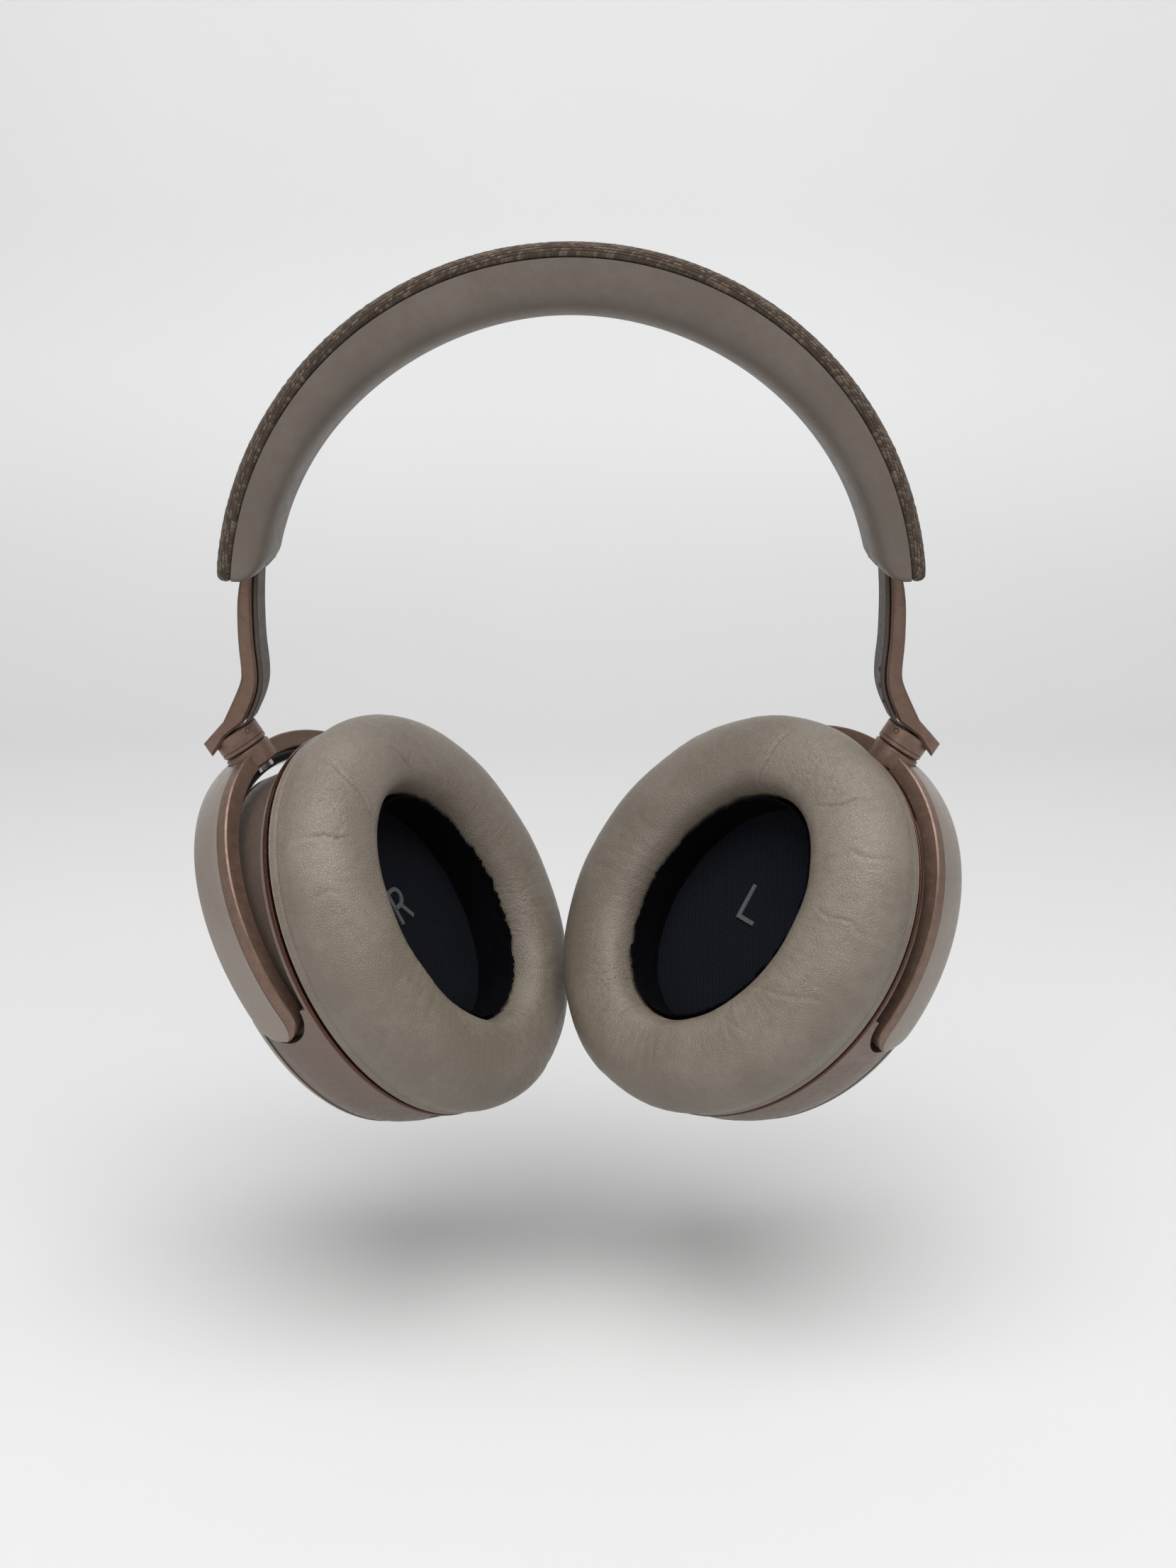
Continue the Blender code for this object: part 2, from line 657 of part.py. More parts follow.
def build_arm_cover(side, sign, parent, inner):
    """The inlay along the arm's inner face. The left one carries three dots that a thumb can feel."""
    outline = inner + [(x + ARM_COVER_THICKNESS, z) for x, z in reversed(inner)]
    shape = prism(mirrored(outline, sign), ARM_WIDTH / 2 - ARM_COVER_MARGIN, ARM_COVER_CHAMFER)
    shape.transform(arm_local(sign))
    cover = add_object(f"arm_cover_{side}", shape, "satin_shell", parent)
    if side == "right":
        return
    dome = [
        (0, -DOT_HEIGHT),
        (DOT_RADIUS, -DOT_HEIGHT),
        (DOT_RADIUS, 0),
        (DOT_RADIUS * 0.6, DOT_HEIGHT),
        (0, DOT_HEIGHT),
    ]
    for number, (height, offset) in enumerate(DOT_PLACES):
        place = Matrix.Translation((sign * (ARM_INNER_FACE + offset), -DOT_OFFSET, height))
        dot = turned(dome, 10, place @ Matrix.Rotation(-sign * math.pi / 2, 4, "Y"))
        dot.transform(arm_local(sign))
        join(cover, add_object(f"dot_addition_{number}", dot, None, parent))


# ---- Yoke: in the swivel's frame, +Y down the barrel's axis, +Z towards the ear --------------
def yoke_ring(angle, profile, drop=0.0, squeeze=1.0):
    """One section of the yoke, at an angle about the cup's centre from its crown.

    Args:
        angle: the section's place, from one pivot over the crown to the other.
        profile: its points as (distance outside the inner edge, depth).
        drop: how far past the pivot the section lies.
        squeeze: its height's share of the full height, which rounds the tips.
    """
    centre = PIVOT_DROP + CUP_CENTRE
    crown = math.cos(angle)
    ring = []
    for thickness, depth in profile:
        if depth < TIP_MIDDLE:
            depth += (YOKE_CROWN_BACK_EDGE - YOKE_BACK_EDGE) * crown**2
        else:
            depth += (YOKE_CROWN_EAR_EDGE - YOKE_EAR_EDGE) * crown**2
        x = (YOKE_INNER_HALF_WIDTH + thickness) * math.sin(angle)
        y = centre - (YOKE_INNER_HALF_HEIGHT + thickness) * crown - CUP_CENTRE * (1 - crown)
        ring.append(Vector((x, y + drop, TIP_MIDDLE + (depth - TIP_MIDDLE) * squeeze)))
    return ring


def yoke_rings(profile):
    """Sections along the whole fork, with a rounded tip past each pivot."""
    turns = [math.radians(degrees) for degrees in TIP_STATIONS]
    tip_steps = [(math.sin(turn) * TIP_RADIUS, math.cos(turn)) for turn in turns]
    rings = [yoke_ring(-math.pi / 2, profile, drop, squeeze) for drop, squeeze in tip_steps]
    rings += [yoke_ring(angle, profile) for angle in spread(-math.pi / 2, math.pi / 2, YOKE_STATIONS)]
    rings += [yoke_ring(math.pi / 2, profile, drop, squeeze) for drop, squeeze in reversed(tip_steps)]
    return rings


def build_yoke(side, sign, parent):
    """The forked yoke: a metal frame with a bright edge towards the ear, and a satin outer cover."""
    edge, thick = YOKE_EAR_EDGE, YOKE_THICKNESS
    step = edge - YOKE_EDGE_WIDTH
    seat = thick - YOKE_SKIN
    frame_profile = [
        (0.0, YOKE_BACK_EDGE + YOKE_BACK_STEP),
        (0.0, edge - YOKE_CHAMFER),
        (YOKE_CHAMFER, edge),
        (thick - YOKE_CHAMFER, edge),
        (thick, edge - YOKE_CHAMFER),
        (thick, step),
        (seat, step),
        (seat, YOKE_BACK_EDGE + YOKE_BACK_STEP),
    ]
    yoke = add_object(f"yoke_{side}", loft(yoke_rings(frame_profile)), "copper", parent)
    skin_profile = [
        (seat + GAP, YOKE_BACK_EDGE),
        (seat + GAP, step - GAP),
        (thick, step - GAP),
        (thick - YOKE_SKIN * 0.07, (step + YOKE_BACK_EDGE) / 2),
        (thick - YOKE_SKIN * 0.4, YOKE_BACK_EDGE + YOKE_BACK_STEP),
    ]
    skin = add_object(f"yoke_cover_{side}", loft(yoke_rings(skin_profile)), "satin_shell", parent)
    down = Matrix.Rotation(-math.pi / 2, 4, "X")
    barrel = turned(rod(BARREL_RADIUS, GAP / 2, BARREL_LOWER), BARREL_SEGMENTS, down)
    room = turned(rod(BARREL_RADIUS + GAP, -GAP, BARREL_LOWER + GAP), BARREL_SEGMENTS, down)
    bore = turned(rod(SWIVEL_PIN_RADIUS + RUNNING, -GAP, 2 * BARREL_LOWER), PIN_SEGMENTS, down)
    head = turned(rod(SWIVEL_HEAD_RADIUS + RUNNING, BARREL_LOWER, 2 * BARREL_LOWER), PIN_SEGMENTS, down)
    join(yoke, add_object(f"barrel_addition_{side}", barrel, None, parent))
    cut(
        yoke,
        add_object(f"barrel_bore_cutter_{side}", bore, None, parent),
        add_object(f"pin_head_cutter_{side}", head, None, parent),
    )
    cut(skin, add_object(f"barrel_cutter_{side}", room, None, parent))
    build_swivel_pin(side, parent)
    for place, direction in (("front", -sign), ("rear", sign)):
        build_tilt_pin(side, place, direction, parent)
        bore_name = f"yoke_bore_cutter_{place}_{side}"
        cut(yoke, tilt_bore(bore_name, direction, parent, PIVOT_DROP, TILT_PIN_RADIUS + GAP))


def build_swivel_pin(side, parent):
    """The shouldered pin, fixed in the yoke, that turns in the arm's half of the barrel."""
    shoulder = BARREL_LOWER + GAP
    end = shoulder + SWIVEL_HEAD_HEIGHT
    profile = [
        (0, -SWIVEL_PIN_TOP),
        (SWIVEL_PIN_RADIUS, -SWIVEL_PIN_TOP),
        (SWIVEL_PIN_RADIUS, shoulder),
        (SWIVEL_HEAD_RADIUS, shoulder),
        (SWIVEL_HEAD_RADIUS, end),
        (0, end),
    ]
    down = Matrix.Rotation(-math.pi / 2, 4, "X")
    add_object(f"swivel_pin_{side}", turned(profile, PIN_SEGMENTS, down), "steel", parent)


def across(direction, y):
    """Turns a piece made about Z so that its +Z runs along +X or -X, at a height along Y."""
    return Matrix.Translation((0, y, 0)) @ Matrix.Rotation(direction * math.pi / 2, 4, "Y")


def build_tilt_pin(side, place, direction, parent):
    """A pin from inside the cup's wall to the outer side of the yoke's frame."""
    profile = rod(TILT_PIN_RADIUS, TILT_PIN_START, TILT_PIN_END)
    pin = turned(profile, PIN_SEGMENTS, across(direction, PIVOT_DROP))
    add_object(f"tilt_pin_{place}_{side}", pin, "steel", parent)


def tilt_bore(name, direction, parent, height, radius):
    """A cutter along a tilt pin, a gap longer than the pin at its outer end."""
    profile = rod(radius, TILT_PIN_START - TILT_PIN_REACH, TILT_PIN_END + GAP)
    return add_object(name, turned(profile, PIN_SEGMENTS, across(direction, height)), None, parent)


# ---- Ear cup: in the tilt frame --------------------------------------------------------------
def rim_frame(direction, degrees, depth):
    """A frame on the shell's lower edge: +Z points out of the cup, +X runs along the edge.

    Args:
        direction: +1 or -1, the side of the cup that the angle is counted towards.
        degrees: angle from the cup's lowest point.
        depth: height along the cup's axis.
    """
    angle = math.radians(degrees)
    width, height = SHELL
    place = Vector((direction * width * math.sin(angle), CUP_CENTRE + height * math.cos(angle), depth))
    out = Vector((direction * math.sin(angle) / width, math.cos(angle) / height, 0)).normalized()
    deep = Vector((0, 0, 1))
    turn = Matrix((deep.cross(out), deep, out)).transposed().to_4x4()
    return Matrix.Translation(place) @ turn


def build_shell(side, sign, parent):
    """The cup's side wall: a full outline below, and a recess above where the yoke passes."""
    rings = [
        ellipse(SHELL_BACK_EDGE, SHELL_BACK),
        ellipse(inset(SHELL, SHELL_BOW), SHELL_BACK * 0.1),
        ellipse(SHELL, TRIM_BASE * 0.3),
        ellipse(SHELL, FLANGE_TOP),
        ellipse(CAVITY, FLANGE_TOP),
        ellipse(CAVITY, SHELL_BACK),
    ]
    shell = add_object(f"cup_shell_{side}", loft(rings, closed=True), "copper_shell", parent)
    cut(shell, recess_cutter(f"recess_cutter_{side}", parent, FLANGE_BASE))
    for place, direction in (("front", -sign), ("rear", sign)):
        socket = tilt_bore(f"socket_cutter_{place}_{side}", direction, parent, 0.0, TILT_PIN_RADIUS + RUNNING)
        cut(shell, tip_room(f"tip_room_{place}_{side}", direction, parent), socket)


def recess_cutter(name, parent, top):
    """Everything outside the recessed wall, above the yoke's pivots."""
    beyond = (2 * CUP_HALF_WIDTH, 2 * CUP_HALF_HEIGHT)
    cutter = add_object(name, oval_ring(beyond, RECESS, -CUP_HALF_WIDTH, top), None, parent)
    size = 4 * CUP_HALF_HEIGHT
    lower_half = slab((size, size, size), Matrix.Translation((0, size / 2, 0)))
    cut(cutter, add_object(f"{name}_half", lower_half, None, parent))
    return cutter


def tip_room(name, direction, parent):
    """Round room for a yoke tip and its swing about the pivot."""
    radius = TIP_RADIUS + abs(TIP_MIDDLE) + 2 * RUNNING
    room = turned(rod(radius, RECESS[0], 2 * CUP_HALF_WIDTH), CUP_SEGMENTS, across(direction, 0))
    return add_object(name, room, None, parent)


def build_outer_cover(side, sign, parent):
    """The domed outer cover, a dished cap that closes the back of the cup."""
    rim_z = SHELL_BACK - GAP
    hollow = inset(SHELL_BACK_EDGE, DOME_WALL)
    rings = [
        ellipse(scaled(SHELL_BACK_EDGE, share), rim_z - DOME_DEPTH * depth)
        for share, depth in reversed(DOME_OUTSIDE)
    ]
    rings += [
        ellipse(scaled(hollow, share), rim_z - (DOME_DEPTH - DOME_WALL) * depth)
        for share, depth in reversed(DOME_INSIDE)
    ]
    cover = add_object(f"outer_cover_{side}", loft(rings), "satin_shell", parent)
    for place, direction in (("front", -sign), ("rear", sign)):
        cut(cover, tip_room(f"cover_room_{place}_{side}", direction, parent))
    cut(cover, recess_cutter(f"crown_cutter_{side}", parent, SHELL_BACK + 2 * GAP))


def cushion_outline(share):
    """The cushion's half sizes at a share of the way from its opening to its edge."""
    return tuple(small + (large - small) * share for small, large in zip(OPENING, CUP))


def oval_plate(halves, low, high):
    return loft([ellipse(halves, low), ellipse(halves, high)])


def build_rim_pieces(side, parent):
    """Trim ring, baffle, cushion frame and liner: flat pieces stacked under the cushion."""
    trim = inset(CUP, TRIM_INSET)
    ring = oval_ring(trim, inset(trim, TRIM_WIDTH), TRIM_BASE, TRIM_TOP)
    add_object(f"trim_ring_{side}", ring, "copper", parent)
    plate = oval_plate(inset(trim, TRIM_WIDTH + GAP), TRIM_BASE, TRIM_TOP)
    baffle = add_object(f"baffle_{side}", plate, "black_plastic", parent)
    centre = Matrix.Translation((0, CUP_CENTRE, 0))
    hole = turned(rod(DRIVER_RADIUS - BAFFLE_LIP, TRIM_BASE - GAP, TRIM_TOP + GAP), CUP_SEGMENTS, centre)
    cut(baffle, add_object(f"baffle_hole_cutter_{side}", hole, None, parent))
    liner = inset(OPENING, -LINER_MARGIN)
    ring = oval_ring(cushion_outline(FRAME_SHARE), inset(liner, -GAP), CUSHION_BASE, FRAME_TOP)
    add_object(f"cushion_frame_{side}", ring, "black_plastic", parent)
    add_object(f"liner_{side}", oval_plate(liner, FRAME_TOP - LINER_THICKNESS, FRAME_TOP), "liner", parent)


def build_cushion(side, parent):
    """The leather ear cushion: a crowned oval ring whose skirt wraps round its frame."""
    skirt = inset(cushion_outline(FRAME_SHARE), -GAP)
    outer_foot = inset(skirt, -SKIRT_WIDTH)
    rings = [ellipse(cushion_outline(0.06), CUSHION_UNDERSIDE)]
    for share, level in CUSHION_SECTION:
        rings.append(ellipse(cushion_outline(share), CUSHION_BASE + CUSHION_DEPTH * level))
    rings.append(ellipse(outer_foot, CUSHION_BASE))
    rings.append(ellipse(skirt, CUSHION_BASE))
    rings.append(ellipse(skirt, CUSHION_UNDERSIDE))
    add_object(f"ear_cushion_{side}", loft(rings, closed=True), "leather", parent)


def build_driver(side, parent):
    """The loudspeaker: a dished basket behind the baffle, and its magnet."""
    centre = Matrix.Translation((0, CUP_CENTRE, 0))
    lip = DRIVER_RADIUS - DRIVER_LIP
    profile = [
        (0, DRIVER_BACK),
        (MAGNET_RADIUS + DRIVER_LIP, DRIVER_BACK),
        (DRIVER_RADIUS - DRIVER_LIP, DRIVER_BACK + DRIVER_DEPTH * 0.4),
        (DRIVER_RADIUS, DRIVER_FRONT - DRIVER_DEPTH * 0.2),
        (DRIVER_RADIUS, DRIVER_FRONT),
        (lip, DRIVER_FRONT),
        (lip - DRIVER_LIP, DRIVER_FRONT - DRIVER_DEPTH * 0.2),
        (lip * 0.47, DRIVER_FRONT - DRIVER_DEPTH * 0.43),
        (lip * 0.25, DRIVER_FRONT - DRIVER_DEPTH * 0.23),
        (0, DRIVER_FRONT - DRIVER_DEPTH * 0.2),
    ]
    add_object(f"driver_{side}", turned(profile, DRIVER_SEGMENTS, centre), "black_plastic", parent)
    high = DRIVER_BACK - GAP
    magnet = turned(rod(MAGNET_RADIUS, high - MAGNET_DEPTH, high), DRIVER_SEGMENTS, centre)
    add_object(f"driver_magnet_{side}", magnet, "magnet", parent)


def build_electronics(side, sign, parent):
    """Circuit board, battery and the small pieces on the lower edge of the cup."""
    rear, front = sign, -sign
    board = loft(
        [ellipse(BOARD, BOARD_TOP - BOARD_THICKNESS, 32), ellipse(BOARD, BOARD_TOP, 32)]
    )
    add_object(f"circuit_board_{side}", board, "board", parent)
    shell = bpy.data.objects[f"cup_shell_{side}"]
    add_mic_mesh(shell, side, rim_frame(front, MIC_PLACE, MIC_DEPTH), parent)
    if side == "left":
        height = BOARD_TOP + GAP + BATTERY_SIZE[2] / 2
        place = Matrix.Translation((0, CUP_CENTRE - BATTERY_OFFSET, height))
        add_object("battery_left", slab(BATTERY_SIZE, place, BATTERY_ROUND), "battery", parent)
        add_button(shell, "noise_button", rim_frame(rear, NOISE_BUTTON_PLACE, BUTTON_DEPTH), parent)
        return
    for name, degrees in BUTTON_PLACES:
        add_button(shell, name, rim_frame(rear, degrees, BUTTON_DEPTH), parent)
    build_usb_socket(shell, rim_frame(rear, USB_PLACE, BUTTON_DEPTH), parent)
    build_status_lens(shell, rim_frame(rear, LENS_PLACE, BUTTON_DEPTH), parent)


def add_mic_mesh(shell, side, place, parent):
    """A narrow mesh inlay in the shell's edge, over the voice microphone."""
    length, height, depth = MIC_SIZE
    inlay = slab(MIC_SIZE, place @ Matrix.Translation((0, 0, -depth / 2)))
    add_object(f"mic_mesh_{side}", inlay, "black_plastic", parent)
    room = slab((length + 2 * GAP, height + 2 * GAP, 2 * (depth + GAP)), place)
    cut(shell, add_object(f"mic_cutter_{side}", room, None, parent))


def build_status_lens(shell, place, parent):
    """The small lens of the status light, beside the power button."""
    lens = turned(rod(LENS_RADIUS, -LENS_LENGTH, 0), 12, place)
    room = turned(rod(LENS_RADIUS + GAP, -LENS_LENGTH - GAP, LENS_LENGTH), 12, place)
    add_object("status_lens", lens, "lens", parent)
    cut(shell, add_object("lens_cutter", room, None, parent))


def add_button(shell, name, place, parent):
    """A push button through the shell's edge, with its own frame on the travel axis."""
    length, height, depth = BUTTON_SIZE
    frame = add_frame(f"{name}_frame", place, parent)
    middle = Matrix.Translation((0, 0, BUTTON_STAND_OUT - depth / 2))
    add_object(name, slab(BUTTON_SIZE, middle, BUTTON_ROUND), "black_plastic", frame)
    hole = slab((length + 2 * RUNNING, height + 2 * RUNNING, 4 * depth))
    cut(shell, add_object(f"{name}_cutter", hole, None, frame))


def build_usb_socket(shell, place, parent):
    """A charging socket: a rounded metal sleeve with its mouth at the shell's edge."""
    width, height, length = USB_SIZE
    middle = place @ Matrix.Translation((0, 0, -length / 2))
    sleeve = add_object("charging_socket", slab(USB_SIZE, middle, USB_ROUND), "steel", parent)
    opening = (width - 2 * USB_WALL, height - 2 * USB_WALL, length)
    mouth = slab(opening, middle @ Matrix.Translation((0, 0, 2 * USB_WALL)), USB_ROUND - USB_WALL)
    cut(sleeve, add_object("socket_mouth_cutter", mouth, None, parent))
    room = slab((width + 2 * GAP, height + 2 * GAP, 3 * length), place)
    cut(shell, add_object("socket_room_cutter", room, None, parent))


# ---- Assembly --------------------------------------------------------------------------------
def swivel_matrix(sign, swivel):
    """The swivel's frame: X across the cup, Y down the barrel's axis, Z towards the ear."""
    down = Vector((-sign * math.sin(HINGE_CANT), 0, -math.cos(HINGE_CANT)))
    inward = Vector((-sign * math.cos(HINGE_CANT), 0, math.sin(HINGE_CANT)))
    ear = math.cos(swivel) * inward + math.sin(swivel) * Vector((0, -1, 0))
    side = down.cross(ear)
    place = Vector((sign * (HINGE_X - ARM_INNER_FACE), 0, HINGE_Z - ARM_TOP))
    return Matrix.Translation(place) @ Matrix((side, down, ear)).transposed().to_4x4()


def build_side(side, headband):
    sign = SIDES[side]["sign"]
    build_guide(side, sign, headband)
    arm = add_frame(f"arm_frame_{side}", Matrix.Translation((sign * ARM_INNER_FACE, 0, ARM_TOP)), headband)
    build_arm(side, sign, arm)
    swivel = add_frame(f"swivel_frame_{side}", swivel_matrix(sign, SIDES[side]["swivel"]), arm)
    build_yoke(side, sign, swivel)
    tilt = add_frame(
        f"tilt_frame_{side}",
        Matrix.Translation((0, PIVOT_DROP, 0)) @ Matrix.Rotation(-SIDES[side]["tilt"], 4, "X"),
        swivel,
    )
    build_shell(side, sign, tilt)
    build_outer_cover(side, sign, tilt)
    build_rim_pieces(side, tilt)
    build_cushion(side, tilt)
    build_driver(side, tilt)
    build_electronics(side, sign, tilt)


clear_scene()
MATERIALS = {name: make_material(name) for name in FINISHES}
HEADBAND = add_frame("headband_frame", Matrix.Translation((0, 0, -crown_height())))
build_cover(HEADBAND)
build_spring(HEADBAND)
build_pad(HEADBAND)
for SIDE in SIDES:
    build_side(SIDE, HEADBAND)
bpy.context.view_layer.update()
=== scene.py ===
"""The visible pieces of a pair of over-ear headphones, laid over their CAD frame, in metres.

The band and its arms are made about the band's centre of curvature, a yoke about its swivel and
a cup about its tilt axis. Each piece is then put in place and rides on the body that moves it.
"""

from __future__ import annotations

import json
import logging
import math
from dataclasses import dataclass
from enum import Enum
from typing import Iterable, Sequence, Union

import bmesh
import bpy
import numpy as np
from mathutils import Matrix, Vector

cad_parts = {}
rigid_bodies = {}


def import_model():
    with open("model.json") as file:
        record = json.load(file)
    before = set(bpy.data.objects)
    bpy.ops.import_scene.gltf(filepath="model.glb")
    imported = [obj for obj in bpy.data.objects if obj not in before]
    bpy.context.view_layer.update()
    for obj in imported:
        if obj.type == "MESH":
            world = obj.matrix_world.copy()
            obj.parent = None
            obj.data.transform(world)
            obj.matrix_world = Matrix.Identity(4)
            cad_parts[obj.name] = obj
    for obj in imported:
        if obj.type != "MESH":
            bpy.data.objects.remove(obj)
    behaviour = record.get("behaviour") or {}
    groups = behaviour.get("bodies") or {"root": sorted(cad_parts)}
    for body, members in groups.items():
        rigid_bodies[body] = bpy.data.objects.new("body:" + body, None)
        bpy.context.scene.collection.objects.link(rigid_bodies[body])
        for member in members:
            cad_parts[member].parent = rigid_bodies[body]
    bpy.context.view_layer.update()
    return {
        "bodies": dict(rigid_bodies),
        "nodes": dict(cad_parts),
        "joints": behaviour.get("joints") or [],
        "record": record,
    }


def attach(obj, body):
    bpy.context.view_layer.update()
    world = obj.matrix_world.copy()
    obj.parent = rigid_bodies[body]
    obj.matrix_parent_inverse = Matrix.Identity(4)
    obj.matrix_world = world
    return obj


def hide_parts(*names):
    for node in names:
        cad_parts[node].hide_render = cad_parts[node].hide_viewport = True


LOG = logging.getLogger("headphones")
Points = np.ndarray
Outline = list[tuple[float, float]]


# ---- Sizes, as in the CAD model ---------------------------------------------------------------
@dataclass(frozen=True)
class BandSizes:
    """The headband's arcs, measured from its centre of curvature."""

    outer_radius: float = 0.0812
    half_angle: float = math.radians(85.5)
    crown_width: float = 0.037
    end_width: float = 0.028
    cover: float = 0.0033
    gap: float = 0.0003
    pad_crown: float = 0.0122
    pad_end: float = 0.0076
    centre_drop: float = 0.065314

    @property
    def pad_radius(self) -> float:
        """The pad's outer radius, just inside the cover."""
        return self.outer_radius - self.cover - self.gap

    def width(self, angle: float) -> float:
        """The band's width at an angle from the crown."""
        share = abs(angle) / self.half_angle
        return self.crown_width + (self.end_width - self.crown_width) * share**1.6

    def pad(self, angle: float) -> float:
        """The pad's thickness at an angle from the crown."""
        share = math.sin(angle) ** 2
        return self.pad_crown + (self.pad_end - self.pad_crown) * share**1.5


@dataclass(frozen=True)
class ArmSizes:
    """A sliding arm and its half of the swivel barrel."""

    inner: float = 0.0722
    outer: float = 0.0774
    width: float = 0.012
    top: float = 0.0088
    chamfer: float = 0.0006
    cover: float = 0.0011
    gap: float = 0.0003
    hinge_x: float = 0.0778
    hinge_z: float = -0.0350
    cant: float = math.radians(32.2)
    barrel: float = 0.0057
    barrel_length: float = 0.0050


@dataclass(frozen=True)
class YokeSizes:
    """The fork that carries a cup."""

    thickness: float = 0.0041
    inner_height: float = 0.0490
    inner_width: float = 0.0403
    ear_edge: float = 0.0050
    crown_ear_edge: float = 0.0036
    back_edge: float = -0.0066
    crown_back_edge: float = -0.0088
    edge_width: float = 0.0030
    skin: float = 0.0014
    chamfer: float = 0.00035
    back_step: float = 0.0009

    @property
    def middle(self) -> float:
        """Half-way between the fork's two edges at the pivots."""
        return (self.ear_edge + self.back_edge) / 2

    @property
    def tip(self) -> float:
        """The radius of the rounded tips."""
        return (self.ear_edge - self.back_edge) / 2


@dataclass(frozen=True)
class CupSizes:
    """A cup about its tilt axis: Y down the cup, Z towards the ear, X across."""

    drop: float = 0.0517
    centre: float = 0.0024
    half: tuple[float, float] = (0.0454, 0.0504)
    opening: tuple[float, float] = (0.0214, 0.0293)
    depth: float = 0.0188
    frame_top: float = 0.0124
    trim_top: float = 0.0111
    trim_base: float = 0.0099
    flange_top: float = 0.0096
    flange_base: float = 0.0086
    shell: tuple[float, float] = (0.0435, 0.0485)
    shell_back_edge: tuple[float, float] = (0.0417, 0.0467)
    shell_back: float = -0.0075
    recess: tuple[float, float] = (0.0393, 0.0444)
    wall: float = 0.0016
    dome: float = 0.0068
    tip_room: float = 0.0070
    liner_margin: float = 0.0040


BAND = BandSizes()
ARM = ArmSizes()
YOKE = YokeSizes()
CUP = CupSizes()


class Side(Enum):
    """The wearer's side that an arm, yoke or cup is on."""

    RIGHT = "right"
    LEFT = "left"

    @property
    def sign(self) -> int:
        """-1 on the right, where x is negative, and +1 on the left."""
        return -1 if self is Side.RIGHT else 1

    @property
    def swivel(self) -> float:
        """How far the yoke is turned forward at rest."""
        return math.radians(26.0 if self is Side.RIGHT else 40.2)

    @property
    def tilt(self) -> float:
        """How far the cup is tilted in its yoke at rest."""
        return math.radians(4.5 if self is Side.RIGHT else -4.2)

    def named(self, base: str) -> str:
        """A CAD node's name on this side.

        Args:
            base: the name without its side.

        Returns:
            The node's full name.
        """
        return f"{base}_{self.value}"

    def body(self, base: str) -> str:
        """A moving body's name on this side, from its plain name."""
        return f"{self.value}_{base}"


BAND_PLACE = Matrix.Translation((0, 0, -BAND.centre_drop))


def swivel_place(side: Side) -> Matrix:
    """The yoke's frame: X across the cup, Y down the barrel's axis, Z towards the ear.

    Args:
        side: the wearer's side.

    Returns:
        The frame.
    """
    sign = side.sign
    down = Vector((-sign * math.sin(ARM.cant), 0, -math.cos(ARM.cant)))
    inward = Vector((-sign * math.cos(ARM.cant), 0, math.sin(ARM.cant)))
    ear = math.cos(side.swivel) * inward + math.sin(side.swivel) * Vector((0, -1, 0))
    turn = Matrix((down.cross(ear), down, ear)).transposed().to_4x4()
    return BAND_PLACE @ Matrix.Translation((sign * ARM.hinge_x, 0, ARM.hinge_z)) @ turn


def cup_place(side: Side) -> Matrix:
    """The cup's frame, about its tilt axis."""
    tilt = Matrix.Rotation(-side.tilt, 4, "X")
    return swivel_place(side) @ Matrix.Translation((0, CUP.drop, 0)) @ tilt


# ---- Curves and grids -------------------------------------------------------------------------
def refined(grid: Points, steps: int, axis: int = 0, closed: bool = True) -> Points:
    """A finer grid on a smooth curve through the points along one axis.

    Args:
        grid: the coarse points.
        steps: how many spans each old span becomes.
        axis: the axis to refine.
        closed: whether the points run round and meet.

    Returns:
        The finer grid.
    """
    here = np.moveaxis(np.asarray(grid, float), axis, 0)
    if closed:
        before, after, beyond = np.roll(here, 1, 0), np.roll(here, -1, 0), np.roll(here, -2, 0)
    else:
        low, high = 2 * here[:1] - here[1:2], 2 * here[-1:] - here[-2:-1]
        whole = np.concatenate([low, here, high])
        before, here, after, beyond = whole[:-3], whole[1:-2], whole[2:-1], whole[3:]
    pieces = []
    for step in range(steps):
        t = step / steps
        pieces.append(
            0.5
            * (
                2 * here
                + (after - before) * t
                + (2 * before - 5 * here + 4 * after - beyond) * t**2
                + (3 * here - before - 3 * after + beyond) * t**3
            )
        )
    made = np.stack(pieces, 1).reshape(-1, *here.shape[1:])
    if not closed:
        made = np.concatenate([made, after[-1:]])
    return np.moveaxis(made, 0, axis)


def ellipse(halves: Sequence[float], z: float, count: int = 160) -> Points:
    """A ring about a cup's centre, from its lowest point.

    Args:
        halves: half the width and half the height.
        z: its height towards the ear.
        count: how many points.

    Returns:
        The ring's points.
    """
    turn = np.linspace(0, 2 * math.pi, count, endpoint=False)
    x, y = halves[0] * np.sin(turn), CUP.centre + halves[1] * np.cos(turn)
    return np.stack([x, y, np.full(count, z)], -1)


def inset(halves: Sequence[float], distance: float) -> tuple[float, float]:
    """An ellipse's half sizes, smaller all round by a distance."""
    return halves[0] - distance, halves[1] - distance


